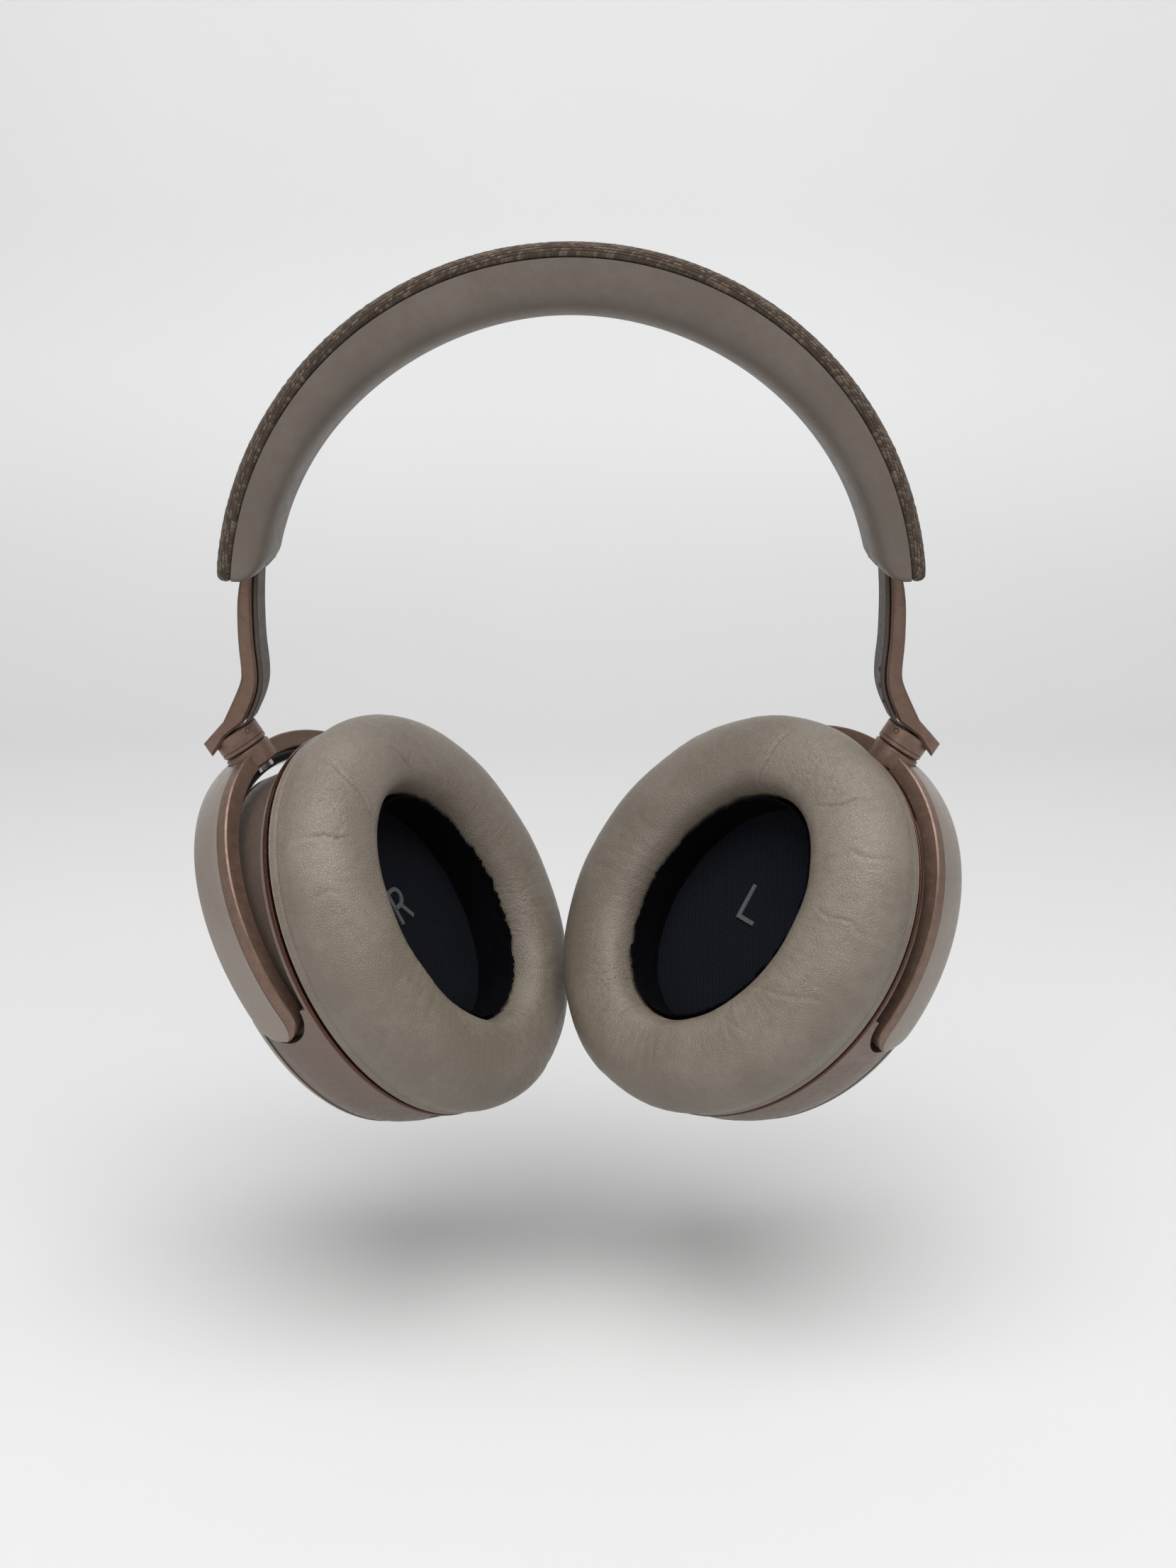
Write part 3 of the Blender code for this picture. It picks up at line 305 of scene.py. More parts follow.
def inset_outline(outline: Outline, distance: float) -> Outline:
    """A closed outline moved inwards by a distance.

    Args:
        outline: the points, in order.
        distance: how far, in metres.

    Returns:
        The new outline.
    """
    area = sum(a[0] * b[1] - b[0] * a[1] for a, b in zip(outline, outline[1:] + outline[:1]))
    turn = 1 if area > 0 else -1
    moved = []
    for before, here, after in zip(outline[-1:] + outline[:-1], outline, outline[1:] + outline[:1]):
        first = Vector((here[0] - before[0], here[1] - before[1])).normalized()
        second = Vector((after[0] - here[0], after[1] - here[1])).normalized()
        normal_a = Vector((-first.y, first.x)) * turn
        normal_b = Vector((-second.y, second.x)) * turn
        corner = (normal_a + normal_b) / max(0.4, 1 + normal_a.dot(normal_b))
        moved.append((here[0] + corner.x * distance, here[1] + corner.y * distance))
    return moved


def waves(a: Points, b: Points, length: float, stretch: float, seed: int) -> Points:
    """Smooth seeded noise over two coordinates, about 0 and mostly between -1 and 1.

    Args:
        a: first coordinate.
        b: second coordinate.
        length: the usual wavelength along a.
        stretch: how many times longer the waves are along b.
        seed: which noise.

    Returns:
        The noise, in the coordinates' shape.
    """
    rng = np.random.default_rng(seed)
    total = np.zeros(np.broadcast(a, b).shape)
    count = 22
    for _ in range(count):
        size = 2 * math.pi / length * rng.uniform(0.55, 1.45)
        turn, shift = rng.uniform(0, math.pi), rng.uniform(0, 2 * math.pi)
        total += np.cos(size * (math.cos(turn) * a + math.sin(turn) * b / stretch) + shift)
    return total * math.sqrt(2 / count) * 0.6


def grid_normals(grid: Points) -> Points:
    """Unit normals of a grid that closes both ways.

    Args:
        grid: the points.

    Returns:
        A normal for each point.
    """
    along = np.roll(grid, -1, 0) - np.roll(grid, 1, 0)
    across = np.roll(grid, -1, 1) - np.roll(grid, 1, 1)
    normal = np.cross(along, across)
    return normal / np.maximum(np.linalg.norm(normal, axis=-1, keepdims=True), 1e-12)


# ---- Making pieces ----------------------------------------------------------------------------
class Form:
    """The points and faces of one piece, gathered from several surfaces."""

    def __init__(self) -> None:
        """Starts with no points and no faces."""
        self.points: list[tuple[float, float, float]] = []
        self.faces: list[tuple[int, ...]] = []

    def grid(self, rings: Points, wrap: bool = True, close: bool = False, caps: bool = True) -> "Form":
        """Adds a skin over rings of points.

        Args:
            rings: the points, as (rings, points in a ring, 3).
            wrap: whether each ring closes on itself.
            close: whether the last ring joins the first.
            caps: whether the end rings are filled.

        Returns:
            This form.
        """
        rings = np.asarray(rings, float)
        rows, count = rings.shape[:2]
        index = len(self.points) + np.arange(rows * count).reshape(rows, count)
        self.points.extend(map(tuple, rings.reshape(-1, 3).tolist()))
        low = index if close else index[:-1]
        high = np.roll(index, -1, 0) if close else index[1:]
        ends = np.arange(count if wrap else count - 1)
        nexts = (ends + 1) % count
        quads = np.stack([low[:, ends], low[:, nexts], high[:, nexts], high[:, ends]], -1)
        self.faces.extend(map(tuple, quads.reshape(-1, 4).tolist()))
        if caps and wrap and not close:
            self.faces.append(tuple(index[0][::-1].tolist()))
            self.faces.append(tuple(index[-1].tolist()))
        return self

    def turned(self, profile: Sequence[tuple[float, float]], count: int, place: Matrix) -> "Form":
        """Adds a solid of revolution about Z.

        Args:
            profile: (radius, height) points, none of them on the axis.
            count: points round it.
            place: where it goes.

        Returns:
            This form.
        """
        turn = np.linspace(0, 2 * math.pi, count, endpoint=False)
        rings = [
            np.stack([r * np.cos(turn), r * np.sin(turn), np.full(count, h)], -1) for r, h in profile
        ]
        return self.grid(moved(np.stack(rings), place))

    def mesh(self, name: str, sharp: float = 35.0) -> bpy.types.Mesh:
        """The mesh, smooth but for edges sharper than an angle in degrees.

        Args:
            name: the mesh's name.
            sharp: the angle.

        Returns:
            The new mesh.
        """
        mesh = bpy.data.meshes.new(name)
        mesh.from_pydata(self.points, [], self.faces)
        shape = bmesh.new()
        shape.from_mesh(mesh)
        bmesh.ops.recalc_face_normals(shape, faces=shape.faces)
        shape.to_mesh(mesh)
        shape.free()
        mesh.shade_smooth()
        mesh.set_sharp_from_angle(angle=math.radians(sharp))
        return mesh


def moved(grid: Points, place: Matrix) -> Points:
    """A grid of points brought to a place."""
    turn = np.array(place.to_3x3())
    return grid @ turn.T + np.array(place.translation)


def oval_solid(rings: Iterable[Points], close: bool = True) -> Form:
    """A ring-shaped solid, or one with flat ends, through several rings."""
    return Form().grid(np.stack(list(rings)), close=close)


def chamfered(outline: Outline, half: float, chamfer: float, steps: int = 3) -> Form:
    """An (x, z) outline as a plate across Y, with its long edges eased.

    Args:
        outline: the points, in order.
        half: half its width.
        chamfer: how much of each long edge is cut away.
        steps: facets in each eased edge.

    Returns:
        The plate.
    """
    rings = []
    for side in (-1, 1):
        levels = [math.radians(90 * k / steps) for k in range(steps + 1)]
        for turn in levels if side < 0 else reversed(levels):
            cut = chamfer * (1 - math.sin(turn))
            y = side * (half - chamfer * (1 - math.cos(turn)))
            rings.append([(x, y, z) for x, z in inset_outline(outline, cut)])
    return Form().grid(np.array(rings))


PLACE = "place"


def mark_places(mesh: bpy.types.Mesh, place: Matrix) -> None:
    """Keeps each point's coordinates in its piece's own frame, for the materials.

    Args:
        mesh: the mesh, already in the world.
        place: the piece's own frame.
    """
    points = np.empty(len(mesh.vertices) * 3)
    mesh.vertices.foreach_get("co", points)
    local = moved(points.reshape(-1, 3), place.inverted())
    kept = mesh.attributes.get(PLACE) or mesh.attributes.new(PLACE, "FLOAT_VECTOR", "POINT")
    kept.data.foreach_set("vector", local.ravel())


def add_piece(name: str, form: Form, place: Matrix, finish: bpy.types.Material) -> bpy.types.Object:
    """A new object of a form, made where it belongs.

    Args:
        name: the object's name.
        form: its points and faces, in their own frame.
        place: that frame.
        finish: its material.

    Returns:
        The object.
    """
    mesh = form.mesh(name)
    mesh.materials.append(finish)
    mesh.transform(place)
    mark_places(mesh, place)
    made = bpy.data.objects.new(name, mesh)
    bpy.context.scene.collection.objects.link(made)
    return made


def adopt(piece: bpy.types.Object, body: str, nodes: Sequence[str]) -> bpy.types.Object:
    """Makes a piece ride on a body and stand for CAD nodes.

    Args:
        piece: the object, already in place.
        body: the CAD body that moves it.
        nodes: the CAD nodes it stands for, if any.

    Returns:
        The same piece.
    """
    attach(piece, body)
    if nodes:
        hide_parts(*nodes)
    LOG.info("%s rides on %s", piece.name, body)
    return piece


def carve(target: bpy.types.Object, place: Matrix, cutters: Sequence[tuple[Form, Matrix]]) -> None:
    """Cuts forms out of a piece and keeps the resulting mesh.

    Args:
        target: the piece.
        place: its own frame.
        cutters: each cutter's form and its place in that frame.
    """
    helpers = []
    for number, (form, shift) in enumerate(cutters):
        helper = bpy.data.objects.new(f"helper_{number}", form.mesh(f"helper_{number}"))
        bpy.context.scene.collection.objects.link(helper)
        helper.matrix_world = place @ shift
        step = target.modifiers.new(f"step_{number}", "BOOLEAN")
        step.operation = "DIFFERENCE"
        step.solver = "EXACT"
        step.object = helper
        helpers.append(helper)
    bpy.context.view_layer.update()
    graph = bpy.context.evaluated_depsgraph_get()
    mesh = bpy.data.meshes.new_from_object(target.evaluated_get(graph))
    target.modifiers.clear()
    target.data = mesh
    mesh.set_sharp_from_angle(angle=math.radians(32))
    mark_places(mesh, place)
    for helper in helpers:
        bpy.data.objects.remove(helper, do_unlink=True)


# ---- Node graphs ------------------------------------------------------------------------------
Source = Union[float, Sequence[float], bpy.types.NodeSocket]


class Graph:
    """Adds nodes to a tree, each with its inputs fed from values or from other sockets."""

    def __init__(self, tree: bpy.types.NodeTree) -> None:
        """Keeps the tree that the nodes go into."""
        self.tree = tree

    def feed(self, socket: bpy.types.NodeSocket, source: Source) -> None:
        """Sets a socket's value, or links another socket to it."""
        if isinstance(source, bpy.types.NodeSocket):
            self.tree.links.new(source, socket)
        else:
            socket.default_value = source

    def add(self, kind: str, inputs: dict, **settings: object) -> bpy.types.Node:
        """Adds a node.

        Args:
            kind: the node's type, without its leading "ShaderNode".
            inputs: sources by the name or number of their socket.
            settings: the node's own properties.

        Returns:
            The node.
        """
        node = self.tree.nodes.new(f"ShaderNode{kind}")
        for name, value in settings.items():
            setattr(node, name, value)
        for name, source in inputs.items():
            self.feed(node.inputs[name], source)
        node.location = (-180 * (len(self.tree.nodes) % 9), -220 * (len(self.tree.nodes) // 9))
        return node

    def math(self, operation: str, *values: Source, clamp: bool = False) -> bpy.types.NodeSocket:
        """The result of a Math node."""
        return self.add(
            "Math", dict(enumerate(values)), operation=operation, use_clamp=clamp
        ).outputs[0]

    def ramp(
        self, value: Source, low: float, high: float, to: tuple[float, float] = (0.0, 1.0)
    ) -> bpy.types.NodeSocket:
        """A value eased from one range into another."""
        inputs = {"Value": value, "From Min": low, "From Max": high, "To Min": to[0], "To Max": to[1]}
        return self.add("MapRange", inputs, interpolation_type="SMOOTHSTEP").outputs["Result"]

    def mix(self, share: Source, low: Source, high: Source) -> bpy.types.NodeSocket:
        """A colour between two colours."""
        return self.add("Mix", {0: share, 6: low, 7: high}, data_type="RGBA").outputs[2]

    def noise(self, vector: Source, scale: Source, detail: float = 2.0) -> bpy.types.NodeSocket:
        """A noise texture's value."""
        inputs = {"Vector": vector, "Scale": scale, "Detail": detail}
        return self.add("TexNoise", inputs).outputs[0]

    def place(self) -> bpy.types.NodeSocket:
        """The object's coordinates, in metres."""
        return self.add("TexCoord", {}).outputs["Object"]

    def own_place(self) -> bpy.types.NodeSocket:
        """The coordinates in the piece's own frame, in metres."""
        return self.add("Attribute", {}, attribute_name=PLACE).outputs["Vector"]

    def parts(self, vector: Source) -> tuple:
        """A vector's three parts."""
        node = self.add("SeparateXYZ", {0: vector})
        return node.outputs[0], node.outputs[1], node.outputs[2]

    def vector(self, x: Source, y: Source, z: Source) -> bpy.types.NodeSocket:
        """A vector from its three parts."""
        return self.add("CombineXYZ", {0: x, 1: y, 2: z}).outputs[0]

    def use(self, group: bpy.types.NodeTree, **inputs: Source) -> bpy.types.NodeOutputs:
        """Adds a node group and returns its outputs.

        Args:
            group: the group to place.

        Returns:
            The placed group's outputs.
        """
        node = self.tree.nodes.new("ShaderNodeGroup")
        node.node_tree = group
        for name, source in inputs.items():
            self.feed(node.inputs[name], source)
        return node.outputs


class Effects:
    """Node groups for the surface effects that several materials share."""

    def __init__(self) -> None:
        """Builds every group once."""
        self.grain = self._grain()
        self.mottle = self._mottle()
        self.wear = self._wear()
        self.weave = self._weave()
        self.dust = self._dust()

    @staticmethod
    def _start(name: str, inputs: Sequence[tuple[str, str, float]], outputs: Sequence[str]) -> tuple:
        """A new group with its sockets, its graph, its inputs and its output node.

        Args:
            name: the group's name.
            inputs: its inputs, as (label, kind, value).
            outputs: its outputs' labels.

        Returns:
            The tree, its graph, its inputs and its outputs.
        """
        tree = bpy.data.node_groups.new(name, "ShaderNodeTree")
        for label, kind, value in inputs:
            kind_name = f"NodeSocket{kind}"
            socket = tree.interface.new_socket(name=label, in_out="INPUT", socket_type=kind_name)
            if kind == "Float":
                socket.default_value = value
        for label in outputs:
            tree.interface.new_socket(name=label, in_out="OUTPUT", socket_type="NodeSocketFloat")
        source = tree.nodes.new("NodeGroupInput")
        result = tree.nodes.new("NodeGroupOutput")
        return tree, Graph(tree), source.outputs, result.inputs

    def _grain(self) -> bpy.types.NodeTree:
        """Pebbled leather: raised cells with fine creases between them.

        Returns:
            The group.
        """
        names = [("Vector", "Vector", 0.0), ("Scale", "Float", 1000.0)]
        tree, graph, given, result = self._start("pebble_grain", names, ["Height", "Crease"])
        warp = graph.add("TexNoise", {"Vector": given["Vector"], "Scale": given["Scale"]})
        shift = graph.add("VectorMath", {0: warp.outputs[1], "Scale": 0.0006}, operation="SCALE")
        bent = graph.add("VectorMath", {0: given["Vector"], 1: shift.outputs[0]}, operation="ADD")
        cells = graph.add(
            "TexVoronoi",
            {"Vector": bent.outputs[0], "Scale": given["Scale"]},
            feature="DISTANCE_TO_EDGE",
        )
        raised = graph.ramp(cells.outputs[0], 0.0, 0.28)
        fine = graph.noise(given["Vector"], graph.math("MULTIPLY", given["Scale"], 3.1), 2.0)
        total = graph.math("ADD", graph.math("MULTIPLY", raised, 0.7), graph.math("MULTIPLY", fine, 0.3))
        graph.feed(result["Height"], total)
        graph.feed(result["Crease"], graph.math("SUBTRACT", 1.0, raised))
        return tree

    def _mottle(self) -> bpy.types.NodeTree:
        """Slow changes of tone from dye, handling and skin oil.

        Returns:
            The group.
        """
        names = [("Vector", "Vector", 0.0), ("Scale", "Float", 60.0)]
        tree, graph, given, result = self._start("mottle", names, ["Tone", "Smudge"])
        slow = graph.noise(given["Vector"], given["Scale"], 3.0)
        quick = graph.noise(given["Vector"], graph.math("MULTIPLY", given["Scale"], 7.3), 2.0)
        both = graph.math("ADD", graph.math("MULTIPLY", slow, 0.7), graph.math("MULTIPLY", quick, 0.3))
        graph.feed(result["Tone"], graph.ramp(both, 0.3, 0.7))
        graph.feed(result["Smudge"], graph.ramp(quick, 0.35, 0.75))
        return tree

    def _wear(self) -> bpy.types.NodeTree:
        """Brighter metal or plastic along the outer edges.

        Returns:
            The group.
        """
        names = [("Vector", "Vector", 0.0), ("Amount", "Float", 1.0)]
        tree, graph, given, result = self._start("edge_wear", names, ["Mask"])
        sharp = graph.add("NewGeometry", {}).outputs["Pointiness"]
        edge = graph.ramp(sharp, 0.51, 0.60)
        broken = graph.ramp(graph.noise(given["Vector"], 420.0, 3.0), 0.3, 0.6, (0.45, 1.0))
        worn = graph.math("MULTIPLY", graph.math("MULTIPLY", edge, broken), given["Amount"], clamp=True)
        graph.feed(result["Mask"], worn)
        return tree

    def _weave(self) -> bpy.types.NodeTree:
        """Rows of stitches, each row half a stitch past the one before.

        Returns:
            The group.
        """
        names = [("Along", "Float", 0.0), ("Across", "Float", 0.0), ("Row", "Float", 0.001)]
        names += [("Stitch", "Float", 0.0015), ("Slant", "Float", 0.0)]
        tree, graph, given, result = self._start("weave_rows", names, ["Height", "Tone"])
        across = graph.math("DIVIDE", given["Across"], given["Row"])
        row = graph.math("FLOOR", across)
        in_row = graph.math("SUBTRACT", across, row)
        lean = graph.math("MULTIPLY", in_row, given["Slant"])
        along = graph.math("ADD", graph.math("DIVIDE", given["Along"], given["Stitch"]), lean)
        along = graph.math("ADD", along, graph.math("MULTIPLY", row, 0.5))
        stitch = graph.math("FLOOR", along)
        in_stitch = graph.math("SUBTRACT", along, stitch)
        rise_row = graph.math("SINE", graph.math("MULTIPLY", in_row, math.pi))
        rise_stitch = graph.math("SINE", graph.math("MULTIPLY", in_stitch, math.pi))
        eased = graph.math("ADD", 0.35, graph.math("MULTIPLY", rise_stitch, 0.65))
        graph.feed(result["Height"], graph.math("MULTIPLY", rise_row, eased))
        spot = graph.add("TexWhiteNoise", {"Vector": graph.vector(stitch, row, 0.0)})
        graph.feed(result["Tone"], spot.outputs[0])
        return tree

    def _dust(self) -> bpy.types.NodeTree:
        """Faint dust on what faces up.

        Returns:
            The group.
        """
        names = [("Vector", "Vector", 0.0), ("Amount", "Float", 0.1)]
        tree, graph, given, result = self._start("dust", names, ["Mask"])
        up = graph.parts(graph.add("NewGeometry", {}).outputs["Normal"])[2]
        specks = graph.ramp(graph.noise(given["Vector"], 900.0, 4.0), 0.45, 0.75)
        lying = graph.math("MULTIPLY", graph.ramp(up, 0.2, 1.0), specks)
        graph.feed(result["Mask"], graph.math("MULTIPLY", lying, given["Amount"]))
        return tree


# ---- Finishes ---------------------------------------------------------------------------------
@dataclass(frozen=True)
class Finish:
    """What every finish has: a colour, a second colour and a roughness."""

    name: str
    colour: tuple[float, float, float]
    second: tuple[float, float, float]
    roughness: float
    metallic: float = 0.0
    coat: float = 0.0
    specular: float = 0.5

    def start(self) -> tuple[bpy.types.Material, Graph, bpy.types.Node]:
        """A new material, its graph and its shader.

        Returns:
            The material, its graph and its shader.
        """
        made = bpy.data.materials.new(self.name)
        made.use_nodes = True
        shader = made.node_tree.nodes["Principled BSDF"]
        shader.inputs["Metallic"].default_value = self.metallic
        shader.inputs["Roughness"].default_value = self.roughness
        shader.inputs["Coat Weight"].default_value = self.coat
        shader.inputs["Coat Roughness"].default_value = 0.25
        shader.inputs["Specular IOR Level"].default_value = self.specular
        made.diffuse_color = (*self.colour, 1.0)
        return made, Graph(made.node_tree), shader

    def colours(self, graph: Graph, tone: Source) -> bpy.types.NodeSocket:
        """The two colours, mixed by a tone."""
        return graph.mix(tone, (*self.colour, 1.0), (*self.second, 1.0))

    def rough(self, graph: Graph, tone: Source, spread: float) -> bpy.types.NodeSocket:
        """The roughness, changed by a tone."""
        return graph.ramp(tone, 0.0, 1.0, (self.roughness - spread, self.roughness + spread))

    def bump(self, graph: Graph, height: Source, distance: float, strength: float) -> bpy.types.NodeSocket:
        """A bumped normal."""
        inputs = {"Height": height, "Distance": distance, "Strength": strength}
        return graph.add("Bump", inputs).outputs[0]


@dataclass(frozen=True)
class Leather(Finish):
    """Soft pebbled leather."""

    cell: float = 0.0006
    relief: float = 0.00012
    wrinkles: float = 0.0

    def build(self, effects: Effects) -> bpy.types.Material:
        """The material.

        Args:
            effects: the shared node groups.

        Returns:
            The new material.
        """
        made, graph, shader = self.start()
        place = graph.own_place()
        grain = graph.use(effects.grain, Vector=place, Scale=1 / self.cell)
        mottle = graph.use(effects.mottle, Vector=place, Scale=55.0)
        dust = graph.use(effects.dust, Vector=place, Amount=0.05)["Mask"]
        height = grain["Height"]
        if self.wrinkles:
            x, y, _ = graph.parts(place)
            turn = graph.math("ARCTAN2", x, graph.math("SUBTRACT", y, CUP.centre))
            fine = graph.vector(graph.math("MULTIPLY", turn, 0.038 * 5), x, y)
            lines = graph.noise(fine, 240.0, 2.0)
            here = graph.ramp(graph.noise(place, 70.0, 1.0), 0.4, 0.65)
            fine_lines = graph.math("MULTIPLY", graph.math("MULTIPLY", lines, here), self.wrinkles)
            height = graph.math("ADD", height, fine_lines)
        shade = graph.math("MULTIPLY", grain["Crease"], 0.35)
        tone = graph.math("SUBTRACT", mottle["Tone"], shade, clamp=True)
        colour = graph.mix(dust, self.colours(graph, tone), (0.55, 0.52, 0.48, 1.0))
        graph.feed(shader.inputs["Base Color"], colour)
        graph.feed(shader.inputs["Roughness"], self.rough(graph, mottle["Smudge"], 0.05))
        graph.feed(shader.inputs["Normal"], self.bump(graph, height, self.relief, 0.55))
        return made


@dataclass(frozen=True)
class Knit(Finish):
    """Heathered cover cloth, in rows along the band."""

    row: float = 0.00062
    stitch: float = 0.00095

    def build(self, effects: Effects) -> bpy.types.Material:
        """The material, from coordinates round the band's centre.

        Args:
            effects: the shared node groups.

        Returns:
            The new material.
        """
        made, graph, shader = self.start()
        place = graph.own_place()
        x, y, z = graph.parts(place)
        along = graph.math("MULTIPLY", graph.math("ARCTAN2", x, z), BAND.outer_radius)
        squares = graph.math("ADD", graph.math("MULTIPLY", x, x), graph.math("MULTIPLY", z, z))
        radius = graph.math("SQRT", squares)
        across = graph.math("SUBTRACT", graph.math("ADD", graph.math("ABSOLUTE", y), 0.2), radius)
        rows = {"Along": along, "Across": across, "Row": self.row, "Stitch": self.stitch, "Slant": 0.35}
        weave = graph.use(effects.weave, **rows)
        mottle = graph.use(effects.mottle, Vector=place, Scale=240.0)
        heather = graph.math("MULTIPLY", weave["Tone"], graph.ramp(mottle["Tone"], 0.0, 1.0, (0.75, 1.0)))
        colour = self.colours(graph, graph.ramp(heather, 0.25, 0.95))
        # Low parts of the weave, between the stitches, get a dark brown: painted shade in the gaps
        deep = graph.ramp(weave["Height"], 0.0, 0.5)
        colour = graph.mix(deep, (0.040, 0.027, 0.020, 1.0), colour)
        fuzz = graph.noise(place, 5200.0, 2.0)
        height = graph.math("ADD", weave["Height"], graph.math("MULTIPLY", fuzz, 0.3))
        graph.feed(shader.inputs["Base Color"], colour)
        shader.inputs["Sheen Weight"].default_value = 0.12
        graph.feed(shader.inputs["Normal"], self.bump(graph, height, 0.0003, 0.8))
        return made


@dataclass(frozen=True)
class Twill(Finish):
    """Dark lining cloth with slanting ribs."""

    rib: float = 0.0009

    def build(self, effects: Effects) -> bpy.types.Material:
        """The material, from a cup's own coordinates.

        Args:
            effects: the shared node groups.

        Returns:
            The new material.
        """
        made, graph, shader = self.start()
        place = graph.own_place()
        x, y, _ = graph.parts(place)
        rows = {
            "Along": graph.math("SUBTRACT", x, y),
            "Across": graph.math("ADD", graph.math("ADD", x, y), 1.0),
            "Row": self.rib,
            "Stitch": self.rib * 2.4,
            "Slant": 0.8,
        }
        weave = graph.use(effects.weave, **rows)
        fuzz = graph.noise(place, 3000.0, 3.0)
        # Rib tops take the lighter colour and the grooves between ribs the darker: painted shade in the
        # grooves, broken by random fuzz tone
        tone = graph.math("MULTIPLY", weave["Height"], graph.ramp(fuzz, 0.3, 0.7, (0.6, 1.0)))
        graph.feed(shader.inputs["Base Color"], self.colours(graph, tone))
        height = graph.math("ADD", weave["Height"], graph.math("MULTIPLY", fuzz, 0.4))
        graph.feed(shader.inputs["Normal"], self.bump(graph, height, 0.00025, 0.7))
        return made


@dataclass(frozen=True)
class Metal(Finish):
    """Blasted and anodised or plated metal, a little brighter along its edges."""

    speck: float = 0.00022
    worn: float = 0.5

    def build(self, effects: Effects) -> bpy.types.Material:
        """The material, with its fine blasted texture.

        Args:
            effects: the shared node groups.

        Returns:
            The new material.
        """
        made, graph, shader = self.start()
        place = graph.place()
        specks = graph.noise(place, 1 / self.speck, 2.0)
        mottle = graph.use(effects.mottle, Vector=place, Scale=90.0)
        edge = graph.use(effects.wear, Vector=place, Amount=self.worn)["Mask"]
        dust = graph.use(effects.dust, Vector=place, Amount=0.06)["Mask"]
        speckle = graph.math("MULTIPLY", graph.ramp(specks, 0.35, 0.65), 0.35)
        tone = graph.math("ADD", speckle, edge, clamp=True)
        tone = graph.math("ADD", tone, graph.math("MULTIPLY", mottle["Tone"], 0.12), clamp=True)
        colour = graph.mix(dust, self.colours(graph, tone), (0.55, 0.52, 0.48, 1.0))
        graph.feed(shader.inputs["Base Color"], colour)
        graph.feed(shader.inputs["Roughness"], self.rough(graph, mottle["Smudge"], 0.06))
        graph.feed(shader.inputs["Normal"], self.bump(graph, specks, 0.00004, 0.35))
        return made


@dataclass(frozen=True)
class Moulded(Finish):
    """Moulded plastic with a spark-eroded texture."""

    texture: float = 0.00035
    relief: float = 0.00003

    def build(self, effects: Effects) -> bpy.types.Material:
        """The material, from matt black to gloss, by its roughness and relief.

        Args:
            effects: the shared node groups.

        Returns:
            The new material.
        """
        made, graph, shader = self.start()
        place = graph.place()
        spark = graph.noise(place, 1 / self.texture, 3.0)
        mottle = graph.use(effects.mottle, Vector=place, Scale=120.0)
        edge = graph.use(effects.wear, Vector=place, Amount=0.3)["Mask"]
        tone = graph.math("ADD", graph.math("MULTIPLY", mottle["Tone"], 0.5), edge, clamp=True)
        graph.feed(shader.inputs["Base Color"], self.colours(graph, tone))
        graph.feed(shader.inputs["Roughness"], self.rough(graph, mottle["Smudge"], 0.05))
        graph.feed(shader.inputs["Normal"], self.bump(graph, spark, self.relief, 0.5))
        return made


@dataclass(frozen=True)
class Perforated(Finish):
    """Fine metal mesh: a grid of dark holes."""

    pitch: float = 0.00035

    def build(self, effects: Effects) -> bpy.types.Material:
        """The material, from the piece's own coordinates.

        Args:
            effects: the shared node groups.

        Returns:
            The new material.
        """
        made, graph, shader = self.start()
        place = graph.place()
        cells = graph.add("TexVoronoi", {"Vector": place, "Scale": 1 / self.pitch, "Randomness": 0.0})
        hole = graph.ramp(cells.outputs["Distance"], 0.25, 0.4)
        mottle = graph.use(effects.mottle, Vector=place, Scale=200.0)
        tone = graph.math("MULTIPLY", hole, graph.ramp(mottle["Tone"], 0.0, 1.0, (0.8, 1.0)))
        graph.feed(shader.inputs["Base Color"], self.colours(graph, tone))
        graph.feed(shader.inputs["Normal"], self.bump(graph, hole, 0.0001, 0.8))
        return made


@dataclass(frozen=True)
class Traced(Finish):
    """A green circuit board with lighter copper tracks under its lacquer."""

    pitch: float = 0.0018

    def build(self, effects: Effects) -> bpy.types.Material:
        """The material, from the board's own coordinates.

        Args:
            effects: the shared node groups.

        Returns:
            The new material.
        """
        made, graph, shader = self.start()
        place = graph.place()
        sizes = {"Vector": place, "Scale": 1 / (4 * self.pitch), "Mortar Size": 0.04}
        bricks = graph.add("TexBrick", sizes)
        mottle = graph.use(effects.mottle, Vector=place, Scale=300.0)
        tone = graph.math("MULTIPLY", bricks.outputs["Fac"], graph.ramp(mottle["Tone"], 0.2, 0.6))
        graph.feed(shader.inputs["Base Color"], self.colours(graph, tone))
        graph.feed(shader.inputs["Normal"], self.bump(graph, bricks.outputs["Fac"], 0.00005, 0.5))
        return made


